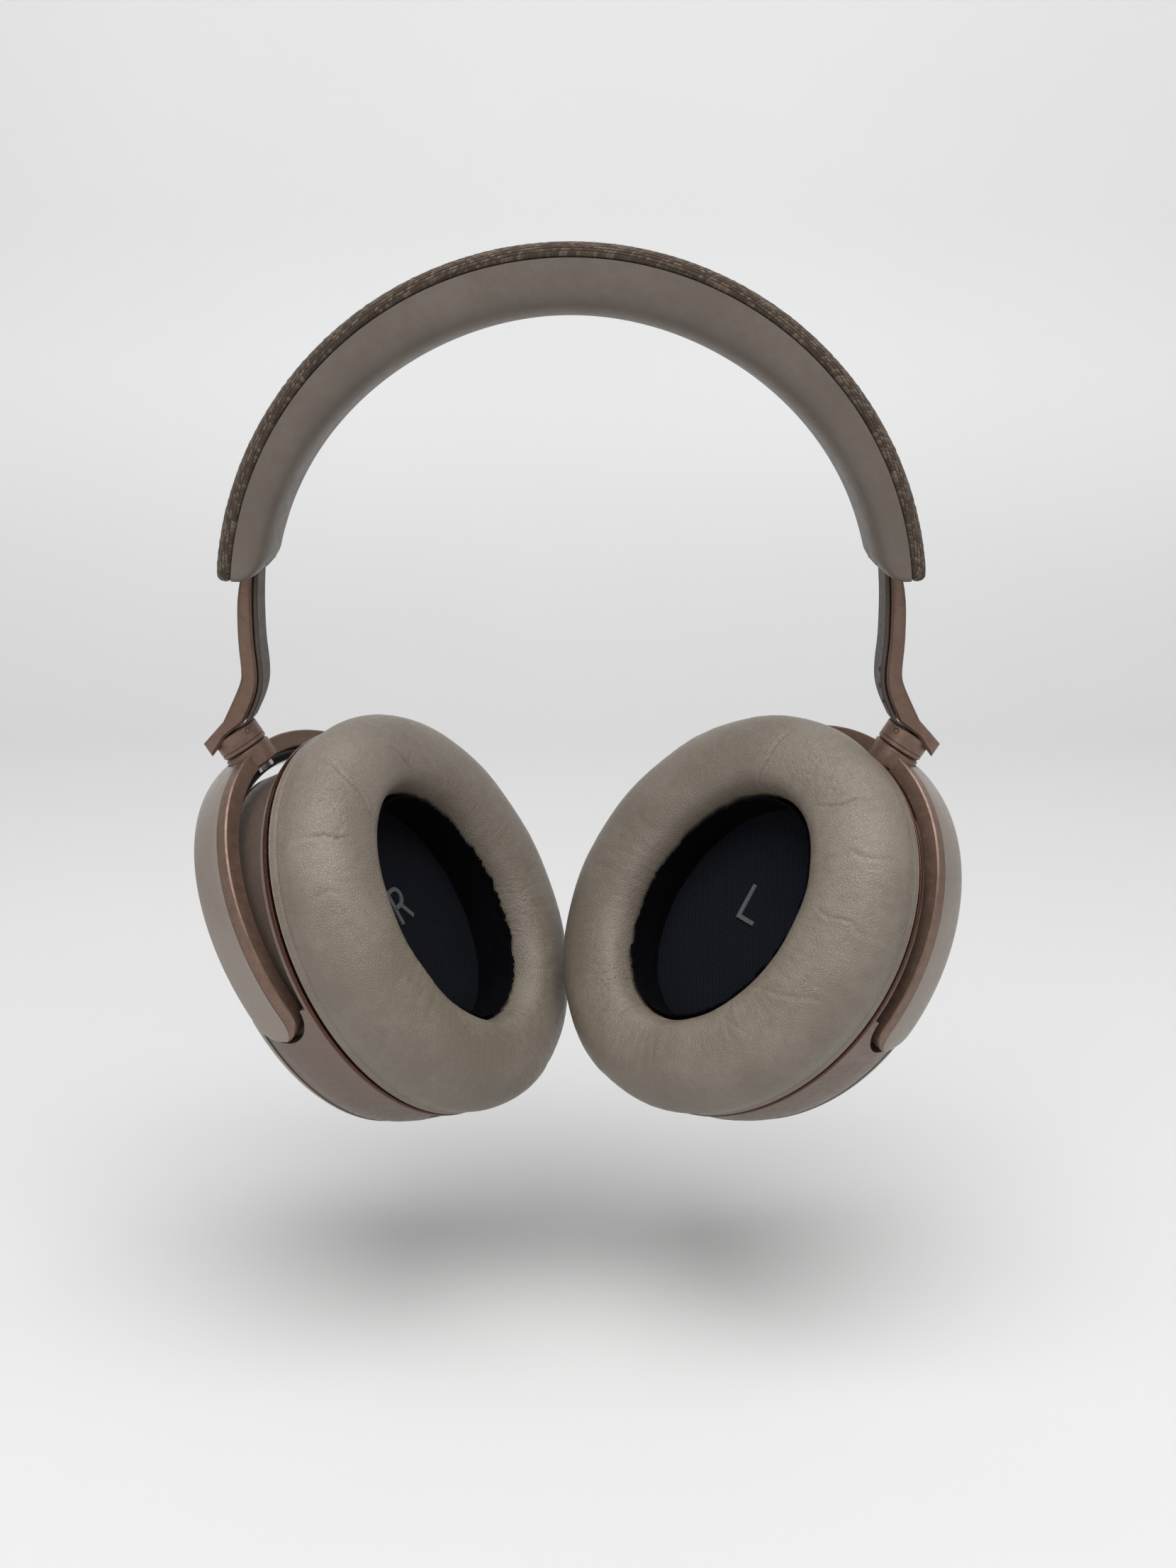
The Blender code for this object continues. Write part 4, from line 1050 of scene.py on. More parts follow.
class Palette:
    """Every material of the model, by the record's slot name."""

    FINISHES: tuple[Finish, ...] = (
        Leather(
            "cushion_leather",
            (0.170, 0.139, 0.108),
            (0.222, 0.186, 0.148),
            0.40,
            wrinkles=1.4,
            relief=0.0002,
        ),
        Leather(
            "band_leather",
            (0.118, 0.094, 0.076),
            (0.150, 0.122, 0.100),
            0.50,
            cell=0.0005,
            relief=0.00006,
        ),
        Knit("woven_cover", (0.068, 0.047, 0.034), (0.165, 0.127, 0.092), 0.92, specular=0.25),
        Twill("ear_liner", (0.0010, 0.0013, 0.0024), (0.0150, 0.0165, 0.0260), 0.95, specular=0.15),
        Moulded(
            "lining_edge",
            (0.0010, 0.0012, 0.0018),
            (0.0036, 0.0040, 0.0056),
            0.97,
            specular=0.08,
            texture=0.0004,
            relief=0.0002,
        ),
        Moulded("letter_print", (0.070, 0.074, 0.078), (0.105, 0.108, 0.112), 0.85, specular=0.2),
        Metal("copper_metal", (0.110, 0.066, 0.047), (0.250, 0.160, 0.120), 0.42, 0.55),
        Metal("copper_trim", (0.060, 0.026, 0.018), (0.190, 0.085, 0.060), 0.32, 0.9, worn=0.15),
        Metal("dark_copper_shell", (0.150, 0.108, 0.086), (0.225, 0.172, 0.142), 0.42, 0.35),
        Metal("satin_shell", (0.240, 0.200, 0.170), (0.320, 0.275, 0.240), 0.36, 0.35, coat=0.25, worn=0.15),
        Metal("arm_paint", (0.045, 0.032, 0.026), (0.085, 0.063, 0.052), 0.62, 0.1),
        Metal("spring_steel", (0.42, 0.41, 0.40), (0.60, 0.59, 0.57), 0.30, 1.0),
        Metal("pin_steel", (0.40, 0.39, 0.38), (0.58, 0.57, 0.56), 0.28, 1.0),
        Metal("magnet_steel", (0.34, 0.33, 0.32), (0.50, 0.49, 0.48), 0.35, 1.0),
        Metal("socket_steel", (0.45, 0.44, 0.43), (0.60, 0.59, 0.58), 0.25, 1.0),
        Perforated("mesh_metal", (0.010, 0.010, 0.010), (0.060, 0.055, 0.050), 0.45, 0.6),
        Moulded("black_plastic", (0.010, 0.010, 0.011), (0.022, 0.022, 0.023), 0.45),
        Moulded("gloss_black", (0.006, 0.006, 0.007), (0.014, 0.014, 0.015), 0.13, coat=0.5),
        Moulded("driver_plastic", (0.014, 0.014, 0.015), (0.030, 0.030, 0.032), 0.40),
        Moulded("button_plastic", (0.060, 0.042, 0.034), (0.095, 0.070, 0.058), 0.42),
        Traced("board", (0.012, 0.085, 0.035), (0.075, 0.160, 0.060), 0.35),
        Metal("battery_foil", (0.20, 0.22, 0.25), (0.34, 0.36, 0.39), 0.32, 0.6),
        Moulded("clear_lens", (0.62, 0.62, 0.60), (0.75, 0.75, 0.72), 0.15),
    )

    def __init__(self) -> None:
        """Builds every material once."""
        effects = Effects()
        self.made = {finish.name: finish.build(effects) for finish in self.FINISHES}

    def __getitem__(self, name: str) -> bpy.types.Material:
        """A material by its name."""
        return self.made[name]

    def paint(self, frame: dict) -> None:
        """Gives every CAD node that stays visible the material of its slot."""
        slots = {row["node"]: row["material_slot"] for row in frame["record"]["subparts"]}
        for name, node in frame["nodes"].items():
            finish = self.made.get(slots.get(name, ""), self.made["black_plastic"])
            for slot in node.material_slots:
                slot.material = finish


# ---- Headband ---------------------------------------------------------------------------------
@dataclass
class Headband:
    """The woven cover and the leather pad."""

    palette: Palette
    stations: int = 361

    @staticmethod
    def band_ring(angle: float, outline: Points) -> Points:
        """A section of (y, radius) points, stood up at an angle from the crown."""
        y, radius = outline[:, 0], outline[:, 1]
        return np.stack([radius * math.sin(angle), y, radius * math.cos(angle)], -1)

    @staticmethod
    def strip_outline(half: float, thick: float, corner: float, count: int = 40) -> Points:
        """A rounded strip about (0, 0), as evenly spaced (y, height) points.

        Args:
            half: half its width.
            thick: half its thickness.
            corner: its corners' radius.
            count: how many points.

        Returns:
            The outline.
        """
        corner = min(corner, thick * 0.98)
        flat_w, flat_h = half - corner, thick - corner
        turn = np.linspace(0, math.pi / 2, 7)
        arc = np.stack([np.cos(turn), np.sin(turn)], -1) * corner
        first = np.stack([np.full(7, flat_w), np.full(7, flat_h)], -1) + arc
        top = np.stack([np.linspace(flat_w, -flat_w, count)[1:-1], np.full(count - 2, thick)], -1)
        quarter = np.concatenate([first, top])
        second = np.stack([-first[::-1, 0], first[::-1, 1]], -1)
        upper = np.concatenate([quarter, second])
        return np.concatenate([upper, -upper])

    def add_cover(self) -> None:
        """The cloth over the top of the band, with soft edges and rounded ends."""
        middle = BAND.outer_radius - BAND.cover / 2
        length = middle * BAND.half_angle
        rings = []
        share = np.linspace(-1, 1, self.stations)
        share = np.sign(share) * (1 - (1 - np.abs(share)) ** 1.12)
        for s in share * length:
            left = length - abs(s)
            half, thick = BAND.width(s / middle) / 2, BAND.cover / 2
            corner = 0.0042
            if left < corner:
                half -= corner * (1 - math.sqrt(max(0.0, 1 - (1 - left / corner) ** 2)))
            if left < thick:
                thick *= max(0.12, math.sqrt(max(0.0, 1 - (1 - left / thick) ** 2)))
            outline = self.strip_outline(half, thick, 0.0013)
            crown = 0.0003 * (1 - (outline[:, 0] / max(half, 1e-6)) ** 2)
            outline[:, 1] += middle - 0.00015 + np.where(outline[:, 1] > 0, crown - 0.00015, 0)
            rings.append(self.band_ring(s / middle, outline))
        rings = np.stack(rings)
        along = np.repeat((share * length)[:, None], rings.shape[1], 1)
        across = np.repeat(np.linspace(0, 0.076, rings.shape[1])[None], len(rings), 0)
        lumps = waves(along, across, 0.0021, 1.0, 5) * 0.00006
        radial = rings.copy()
        radial[..., 1] *= 0.6
        out = radial / np.linalg.norm(radial, axis=-1, keepdims=True)
        form = Form().grid(rings + out * lumps[..., None])
        piece = add_piece("cover_cloth", form, BAND_PLACE, self.palette["woven_cover"])
        adopt(piece, "headband", ["headband_cover"])

    def add_pad(self) -> None:
        """The leather pad, full along its middle, with blunt slanting ends."""
        rings = []
        end = BAND.half_angle - math.radians(0.3)
        share = np.linspace(-1, 1, 181)
        share = np.sign(share) * (1 - (1 - np.abs(share)) ** 1.35)
        turn = np.linspace(0, math.pi, 49)
        for angle in share * end:
            half, thick = BAND.width(angle) / 2, BAND.pad(angle)
            left = (end - abs(angle)) * 0.073
            shrink = 1 - math.sqrt(max(0.0, 1 - max(0.0, 1 - left / 0.0045) ** 2))
            ease = 1 - math.sqrt(max(0.0, 1 - max(0.0, 1 - left / 0.0012) ** 2))
            thick_here = thick * (1 - 0.48 * shrink)
            half_here = half - 0.0012 * ease - 0.0004
            y = half_here * np.sign(np.cos(turn)) * np.abs(np.cos(turn)) ** 0.42
            depth = thick_here * np.abs(np.sin(turn)) ** 0.50
            top = np.linspace(-half_here, half_here, 17)[1:-1]
            outline = np.concatenate([np.stack([y, depth], -1), np.stack([top, 0 * top], -1)])
            slant = math.radians(3.2) * max(0.0, 1 - left / 0.012)
            angles = angle - np.sign(angle) * slant * (np.clip(outline[:, 1], 0, None) / thick) ** 2.5
            radius = BAND.pad_radius - outline[:, 1]
            rings.append(np.stack([radius * np.sin(angles), outline[:, 0], radius * np.cos(angles)], -1))
        form = Form().grid(np.stack(rings))
        piece = add_piece("pad_leather", form, BAND_PLACE, self.palette["band_leather"])
        middle, reach, low, high = 0.0748, 0.0037, -0.004, 0.0092
        mouths = []
        for side in Side:
            x = side.sign * middle
            corners = ((-reach, low), (reach, low), (reach, high), (-reach, high))
            outline = [(x + across, z) for across, z in corners]
            mouths.append((chamfered(outline, ARM.width / 2 + ARM.gap, 0.0008), Matrix.Identity(4)))
        carve(piece, BAND_PLACE, mouths)
        adopt(piece, "headband", ["headband_pad"])

    def build(self) -> None:
        """Adds both pieces."""
        self.add_cover()
        self.add_pad()


# ---- Sliding arms -----------------------------------------------------------------------------
@dataclass
class SlidingArm:
    """One side's metal arm, its half of the barrel and its inlay."""

    side: Side
    palette: Palette

    def barrel_point(self, t: float, across: float) -> tuple[float, float]:
        """A point (x, z) at a height on the barrel's axis, moved outwards across it.

        Args:
            t: the height up the barrel.
            across: the distance outwards.

        Returns:
            The point.
        """
        x = ARM.hinge_x + t * math.sin(ARM.cant) + across * math.cos(ARM.cant)
        z = ARM.hinge_z + t * math.cos(ARM.cant) - across * math.sin(ARM.cant)
        return x, z

    def barrel_place(self) -> Matrix:
        """The barrel's own frame, its +Z pointing up the barrel.

        Returns:
            The frame.
        """
        sign = self.side.sign
        shift = Matrix.Translation((sign * ARM.hinge_x, 0, ARM.hinge_z))
        return shift @ Matrix.Rotation(sign * ARM.cant, 4, "Y")

    def edges(self) -> tuple[Outline, Outline]:
        """The arm's outer and inner edges from the band down, as smooth (x, z) lines.

        Returns:
            The outer and the inner line.
        """
        outer = [(-0.0014, ARM.top), (0.0, 0.0010), (0.0002, -0.0080), (-0.0002, -0.0150)]
        outer += [(0.0001, -0.0180), (0.0018, -0.0220), (0.0045, -0.0275)]
        inner = [(0.0, ARM.top), (0.0005, 0.0010), (0.0005, -0.0080), (0.0, -0.0145)]
        inner += [(0.0001, -0.0188), (0.0012, -0.0228), (0.0034, -0.0275)]
        outer_line = refined(np.array(outer) + (ARM.outer, 0), 3, closed=False)
        inner_line = refined(np.array(inner) + (ARM.inner, 0), 3, closed=False)
        return [tuple(p) for p in outer_line.tolist()], [tuple(p) for p in inner_line.tolist()]

    def mirrored(self, outline: Outline) -> Outline:
        """An outline on this arm's side."""
        return [(self.side.sign * x, z) for x, z in outline]

    def add_shell(self, outer: Outline, inner: Outline) -> None:
        """The arm's metal, flared over the outside of the barrel.

        Args:
            outer: the arm's outer edge.
            inner: the arm's inner edge.
        """
        foot = [self.barrel_point(0.0066, 0.0064), self.barrel_point(0.0030, 0.0064)]
        foot += [self.barrel_point(0.0053, 0.0012)]
        seat = [(x + ARM.cover + ARM.gap, z) for x, z in reversed(inner)]
        form = chamfered(self.mirrored(outer + foot + seat), ARM.width / 2, ARM.chamfer, 1)
        top, radius = ARM.barrel_length, ARM.barrel
        low, ease, groove = 0.00015, 0.0003, 0.0012
        profile = [(0.0024, low), (radius - ease, low), (radius, low + ease), (radius, groove)]
        profile += [(radius - ease, groove), (radius - ease, groove + ease), (radius, groove + ease)]
        profile += [(radius, top - ease), (radius - ease, top), (0.0004, top)]
        form.turned(profile, 72, self.barrel_place())
        name = self.side.named("arm_metal")
        piece = add_piece(name, form, BAND_PLACE, self.palette["copper_metal"])
        adopt(piece, self.side.body("arm"), [self.side.named("arm_shell")])

    def add_pin_hole(self) -> None:
        """The end of the small locking pin, sunk in the barrel's upper half."""
        sign = self.side.sign
        turn = Matrix.Rotation(math.radians(-90 - sign * 42), 4, "Z")
        place = self.barrel_place() @ turn @ Matrix.Translation((ARM.barrel - 0.00001, 0, 0.0036))
        place = place @ Matrix.Rotation(math.pi / 2, 4, "Y")
        radius, inner, lip, sunk = 0.0007, 0.00055, 0.00004, -0.00018
        profile = [(radius, -0.0002), (radius, lip), (inner, lip), (0.0005, sunk), (0.0001, sunk)]
        form = Form().turned(profile, 24, place)
        piece = add_piece(self.side.named("locking_pin"), form, BAND_PLACE, self.palette["black_plastic"])
        adopt(piece, self.side.body("arm"), [])

    def add_inlay(self, inner: Outline) -> None:
        """The satin strip on the arm's inner face. The left one has three dots to feel for.

        Args:
            inner: the arm's inner edge.
        """
        outline = inner + [(x + ARM.cover, z) for x, z in reversed(inner)]
        form = chamfered(self.mirrored(outline), ARM.width / 2 - 0.0004, 0.0003, 1)
        sign = self.side.sign
        if self.side is Side.LEFT:
            for height, offset in ((-0.0150, 0.0), (-0.0188, 0.0001), (-0.0225, 0.0012)):
                shift = Matrix.Translation((sign * (ARM.inner + offset), -0.0042, height))
                place = shift @ Matrix.Rotation(-sign * math.pi / 2, 4, "Y")
                turns = np.radians(np.linspace(0, 84, 7))
                dome = [(0.0007, -0.0004)] + [(0.0007 * math.cos(t), 0.00045 * math.sin(t)) for t in turns]
                form.turned(dome, 24, place)
        piece = add_piece(self.side.named("arm_inlay"), form, BAND_PLACE, self.palette["arm_paint"])
        adopt(piece, self.side.body("arm"), [self.side.named("arm_cover")])

    def build(self) -> None:
        """Adds the arm's pieces."""
        outer, inner = self.edges()
        self.add_shell(outer, inner)
        self.add_pin_hole()
        self.add_inlay(inner)


# ---- Yokes ------------------------------------------------------------------------------------
@dataclass
class Yoke:
    """One side's fork: frame, satin skin, gloss lining and pivot pads."""

    side: Side
    palette: Palette
    stations: int = 181

    def ring(self, angle: float, profile: Points, drop: float = 0.0, squeeze: float = 1.0) -> Points:
        """One section of the fork at an angle about the cup's centre, from its crown.

        Args:
            angle: the section's place.
            profile: points as (distance outside the inner edge, depth).
            drop: how far past the pivot the section lies.
            squeeze: its height's share of the full height.

        Returns:
            The section's points.
        """
        crown = math.cos(angle)
        thick, depth = profile[:, 0], profile[:, 1].copy()
        back = (YOKE.crown_back_edge - YOKE.back_edge) * crown**2
        ear = (YOKE.crown_ear_edge - YOKE.ear_edge) * crown**2
        depth += np.where(depth < YOKE.middle, back, ear)
        x = (YOKE.inner_width + thick) * math.sin(angle)
        y = CUP.drop + CUP.centre - (YOKE.inner_height + thick) * crown - CUP.centre * (1 - crown)
        return np.stack([x, y + drop, YOKE.middle + (depth - YOKE.middle) * squeeze], -1)

    def rings(self, profile: Sequence[tuple[float, float]]) -> Points:
        """Sections over the crown from tip to tip, the tips rounded past the pivots.

        Args:
            profile: points as (distance outside the inner edge, depth).

        Returns:
            The sections.
        """
        section = np.array(profile)
        high = math.pi / 2
        turns = [math.radians(t) for t in (88, 82, 75, 66, 56, 46, 35, 24, 12)]
        steps = [(math.sin(turn) * YOKE.tip, math.cos(turn)) for turn in turns]
        rings = [self.ring(-high, section, drop, squeeze) for drop, squeeze in steps]
        rings += [self.ring(angle, section) for angle in np.linspace(-high, high, self.stations)]
        rings += [self.ring(high, section, drop, squeeze) for drop, squeeze in reversed(steps)]
        return np.stack(rings)

    def add_frame(self) -> None:
        """The metal fork, its bright edge towards the ear, and its half of the barrel."""
        edge, thick, ease = YOKE.ear_edge, YOKE.thickness, YOKE.chamfer
        step, seat, back = edge - YOKE.edge_width, thick - YOKE.skin, YOKE.back_edge + YOKE.back_step
        small = 0.0002
        profile = [(0.0, back), (0.0, edge - small), (small, edge), (thick - ease, edge)]
        profile += [(thick, edge - ease), (thick, step), (seat, step), (seat, back)]
        form = Form().grid(self.rings(profile))
        down = Matrix.Rotation(-math.pi / 2, 4, "X")
        radius, low = ARM.barrel, ARM.barrel_length
        soft = 0.00035
        barrel = [(0.0024, 0.00015), (radius - soft, 0.00015), (radius, 0.00015 + soft)]
        barrel += [(radius, low - soft), (radius - soft, low), (0.0037, low)]
        form.turned(barrel, 72, down)
        name, place = self.side.named("fork_metal"), swivel_place(self.side)
        piece = add_piece(name, form, place, self.palette["copper_metal"])
        adopt(piece, self.side.body("yoke"), [self.side.named("yoke")])

    def add_skin(self) -> None:
        """The satin outer skin, domed to carry on the line of the cup."""
        edge, thick = YOKE.ear_edge, YOKE.thickness
        step, seat = edge - YOKE.edge_width, thick - YOKE.skin
        gap = 0.0003
        high, low = step - gap, YOKE.back_edge
        bow = [(thick - YOKE.skin * 0.55 * t**2.2, high + (low - high) * t) for t in np.linspace(0, 1, 9)]
        profile = [(seat + gap, low + 0.0002), (seat + gap, high), (thick - 0.00015, high)] + bow[1:-1]
        profile += [(bow[-1][0] - 0.0001, low + 0.00005), (bow[-1][0] - 0.0004, low)]
        form = Form().grid(self.rings(profile))
        name, place = self.side.named("fork_skin"), swivel_place(self.side)
        piece = add_piece(name, form, place, self.palette["satin_shell"])
        radius, low, high = ARM.barrel + gap, -0.001, ARM.barrel_length + gap
        room = Form().turned([(radius, low), (radius, high)], 72, Matrix.Identity(4))
        carve(piece, place, [(room, Matrix.Rotation(-math.pi / 2, 4, "X"))])
        adopt(piece, self.side.body("yoke"), [self.side.named("yoke_cover")])

    def add_lining(self) -> None:
        """The gloss black crescent inside the crown, thickest at its middle."""
        reach, proud, thin = math.radians(46), 0.0023, 0.0002
        turn = np.linspace(0, math.pi, 11)
        level = 0.0034 - 0.0076 * (1 - np.cos(turn)) / 2
        rings = []
        for angle in np.linspace(-reach, reach, 61):
            rise = thin + proud * math.cos(angle / reach * math.pi / 2) ** 1.3
            bow = np.stack([-rise * (0.25 + 0.75 * np.sin(turn) ** 0.6), level], -1)
            seat = np.array([(-0.00003, level[-1]), (-0.00003, level[0])])
            rings.append(self.ring(angle, np.concatenate([bow, seat])))
        form = Form().grid(np.stack(rings))
        name, place = self.side.named("fork_lining"), swivel_place(self.side)
        piece = add_piece(name, form, place, self.palette["gloss_black"])
        adopt(piece, self.side.body("yoke"), [])

    def add_pivot_pads(self) -> None:
        """A small pad round each tilt pin, between the fork and the cup."""
        form = Form()
        for direction in (-1, 1):
            rings = []
            for x, grow in ((0.0, 0.0), (-0.0003, 0.0), (-0.0004, -0.0002)):
                turn = np.linspace(0, 2 * math.pi, 48, endpoint=False)
                a = np.sign(np.cos(turn)) * np.abs(np.cos(turn)) ** 0.5 * (0.0026 + grow)
                b = np.sign(np.sin(turn)) * np.abs(np.sin(turn)) ** 0.5 * (0.0021 + grow)
                place = direction * (YOKE.inner_width + x)
                rings.append(np.stack([np.full(48, place), CUP.drop + a, YOKE.middle + 0.0008 + b], -1))
            form.grid(np.stack(rings))
        name, place = self.side.named("pivot_pads"), swivel_place(self.side)
        piece = add_piece(name, form, place, self.palette["satin_shell"])
        adopt(piece, self.side.body("yoke"), [])

    def build(self) -> None:
        """Adds the fork's pieces."""
        self.add_frame()
        self.add_skin()
        self.add_lining()
        self.add_pivot_pads()


# ---- Ear cushions -----------------------------------------------------------------------------
@dataclass(frozen=True)
class Crease:
    """A sharp fold in the leather.

    Args:
        places: points as (degrees round the cup from its lowest point, share from opening to edge).
        depth: how deep the fold is.
        width: how wide it is.
    """

    places: tuple[tuple[float, float], ...]
    depth: float
    width: float = 0.00042


@dataclass(frozen=True)
class Crumple:
    """A patch of fine crossing creases.

    Args:
        place: its middle, as (degrees, share).
        size: its reach, as (degrees, share).
        depth: how deep the creases are.
        length: their usual spacing.
    """

    place: tuple[float, float]
    size: tuple[float, float]
    depth: float
    length: float = 0.0023


CREASES: dict[Side, tuple[Crease, ...]] = {
    Side.RIGHT: (
        Crease(((166, 0.98), (162, 0.82), (158, 0.62), (153, 0.38), (150, 0.22)), 0.00055),
        Crease(((137, 1.0), (138, 0.85), (136, 0.72), (137, 0.58)), 0.0006),
        Crease(((187, 0.52), (193, 0.36), (198, 0.22), (200, 0.08)), 0.00045),
        Crease(((201, 0.42), (198, 0.30), (196, 0.18)), 0.0003),
        Crease(((119, 0.97), (121, 0.84), (118, 0.72)), 0.0002),
        Crease(((330, 0.10), (324, 0.35), (320, 0.55)), 0.00016, 0.001),
        Crease(((345, 0.08), (342, 0.30), (341, 0.48)), 0.00014, 0.001),
    ),
    Side.LEFT: (
        Crease(((166, 0.80), (163, 0.55), (160, 0.30), (156, 0.08)), 0.0007),
        Crease(((207, 0.92), (205, 0.70), (204, 0.50), (200, 0.30)), 0.0005),
        Crease(((226, 0.97), (225, 0.78), (223, 0.62), (226, 0.48)), 0.0003),
        Crease(((248, 0.95), (245, 0.72), (246, 0.52), (243, 0.34)), 0.00035),
        Crease(((268, 0.88), (272, 0.66), (277, 0.40), (284, 0.12)), 0.00025),
        Crease(((292, 0.60), (297, 0.34), (301, 0.12)), 0.00015),
        Crease(((98, 0.05), (95, 0.28), (96, 0.48)), 0.00015, 0.001),
    ),
}
CRUMPLES: dict[Side, tuple[Crumple, ...]] = {
    Side.RIGHT: (
        Crumple((150, 0.80), (16, 0.24), 0.00020),
        Crumple((165, 0.60), (14, 0.25), 0.00010),
        Crumple((300, 0.10), (20, 0.22), 0.00022),
        Crumple((330, 0.18), (16, 0.18), 0.00010),
    ),
    Side.LEFT: (
        Crumple((185, 0.55), (24, 0.36), 0.00018),
        Crumple((222, 0.72), (26, 0.22), 0.00011),
        Crumple((22, 0.18), (20, 0.24), 0.00024),
        Crumple((75, 0.12), (26, 0.20), 0.00012),
        Crumple((262, 0.62), (20, 0.25), 0.00009),
    ),
}


@dataclass
class Cushion:
    """One side's ear cushion, its inner lining, and the cloth and letter inside it."""

    side: Side
    palette: Palette
    around: int = 120
    finer: int = 6
    around_reach: float = 0.038
    across_reach: float = 0.024
    slack: float = 0.0005
    fullest: float = 0.0006

    SECTION = (
        (0.060, 0.0128),
        (0.030, 0.0150),
        (0.012, 0.0184),
        (0.000, 0.0217),
        (0.018, 0.0250),
        (0.080, 0.0278),
        (0.180, 0.0294),
        (0.290, 0.0300),
        (0.400, 0.0302),
        (0.510, 0.0300),
        (0.620, 0.0295),
        (0.720, 0.0286),
        (0.810, 0.0273),
        (0.885, 0.0256),
        (0.945, 0.0235),
        (0.985, 0.0211),
        (1.000, 0.0186),
        (0.987, 0.0162),
        (0.972, 0.0140),
        (0.963, 0.0122),
        (0.952, 0.01142),
        (0.890, 0.01145),
        (0.872, 0.0126),
        (0.700, 0.0129),
        (0.450, 0.0129),
        (0.200, 0.0129),
    )

    def point_grid(self, share: Points, z: Points, turn: Points) -> Points:
        """Points at shares of the way from the opening to the edge, all round.

        Args:
            share: each section point's share.
            z: each section point's height.
            turn: the angles round the cup.

        Returns:
            The points, as (round the cup, along the section, 3).
        """
        width = CUP.opening[0] + (CUP.half[0] - CUP.opening[0]) * share
        height = CUP.opening[1] + (CUP.half[1] - CUP.opening[1]) * share
        x = width[None] * np.sin(turn)[:, None]
        y = CUP.centre + height[None] * np.cos(turn)[:, None]
        return np.stack([x, y, np.repeat(z[None], len(turn), 0)], -1)

    def inflated(self, grid: Points) -> Points:
        """The coarse grid filled like a cushion by cloth under pressure, held along its underside.

        Args:
            grid: the points.

        Returns:
            The filled grid.
        """
        normals = grid_normals(grid)
        if (normals[0, 8] @ np.array([0, 0, 1.0])) < 0:
            normals = -normals
        start = grid - normals * self.slack
        form = Form().grid(start, close=True)
        mesh = form.mesh("soft_start")
        soft = bpy.data.objects.new("soft_start", mesh)
        bpy.context.scene.collection.objects.link(soft)
        held = soft.vertex_groups.new(name="held")
        low = [i for i, p in enumerate(form.points) if p[2] < 0.0133]
        held.add(low, 1.0, "REPLACE")
        cloth = soft.modifiers.new("cloth", "CLOTH")
        cloth.settings.quality = 6
        cloth.settings.mass = 0.2
        cloth.settings.tension_stiffness = 18
        cloth.settings.compression_stiffness = 12
        cloth.settings.bending_stiffness = 0.6
        cloth.settings.use_pressure = True
        cloth.settings.uniform_pressure_force = 4
        cloth.settings.effector_weights.gravity = 0
        cloth.settings.vertex_group_mass = "held"
        cloth.collision_settings.use_collision = False
        cloth.point_cache.frame_start, cloth.point_cache.frame_end = 1, 20
        scene = bpy.context.scene
        for number in range(1, 21):
            scene.frame_set(number)
        graph = bpy.context.evaluated_depsgraph_get()
        points = np.array([tuple(v.co) for v in soft.evaluated_get(graph).data.vertices])
        bpy.data.objects.remove(soft, do_unlink=True)
        scene.frame_set(1)
        shift = points.reshape(grid.shape) - start
        size = np.linalg.norm(shift, axis=-1, keepdims=True)
        LOG.info("%s cushion filled by up to %.2f mm", self.side.value, float(size.max()) * 1000)
        return start + shift * np.minimum(1, self.fullest / np.maximum(size, 1e-9))

    def folds(self, turn: Points, share: Points) -> Points:
        """How far each point of the fine grid moves out, from creases and crumpled patches.

        Args:
            turn: the angles round the cup.
            share: each section point's share.

        Returns:
            The distance for each point.
        """
        reach, span = self.around_reach, self.across_reach
        a, b = turn[:, None] * reach, share[None] * span
        a, b = np.broadcast_arrays(a, b)
        total = waves(a, b, 0.020, 1.0, 3) * 0.00012
        patches = np.clip(waves(a, b, 0.03, 1.0, 12) + 0.5, 0, 1)
        total = total + waves(a, b, 0.0024, 4.0, 11) * 0.00004 * patches
        wander_a = waves(a, b, 0.009, 1.0, 21) * 0.0005
        wander_b = waves(a, b, 0.009, 1.0, 22) * 0.0005
        for crease in CREASES[self.side]:
            places = np.array([(math.radians(d) * reach, s * span) for d, s in crease.places])
            nearest = np.full(a.shape, 1.0)
            along = np.zeros(a.shape)
            parts = len(places) - 1
            for number in range(parts):
                start, run = places[number], places[number + 1] - places[number]
                off_a, off_b = a + wander_a - start[0], b + wander_b - start[1]
                t = np.clip((off_a * run[0] + off_b * run[1]) / (run @ run), 0, 1)
                gap = np.hypot(off_a - t * run[0], off_b - t * run[1])
                closer = gap < nearest
                nearest = np.where(closer, gap, nearest)
                along = np.where(closer, (number + t) / parts, along)
            fade = np.sin(np.clip(along, 0.02, 0.98) * math.pi) ** 0.5
            width = crease.width
            valley = np.exp(-((nearest / width) ** 2))
            ridge = np.exp(-(((nearest - 2.3 * width) / (1.3 * width)) ** 2))
            fold = 0.3 * ridge - valley
            total = total + 0.6 * crease.depth * fade * fold
        for seed, patch in enumerate(CRUMPLES[self.side]):
            off = (np.degrees(turn)[:, None] - patch.place[0] + 180) % 360 - 180
            aside = (share[None] - patch.place[1]) / patch.size[1]
            near = np.exp(-((off / patch.size[0]) ** 2) - aside**2)
            field = waves(a, b, patch.length, 1.1, 40 + seed)
            field2 = waves(a, b, patch.length * 0.6, 1.0, 60 + seed)
            coarse = np.clip(1 - np.abs(field) / 0.22, 0, 1) ** 1.5
            lines = coarse + 0.5 * np.clip(1 - np.abs(field2) / 0.25, 0, 1) ** 1.5
            total = total + 1.2 * patch.depth * near * (0.25 - lines)
        return total

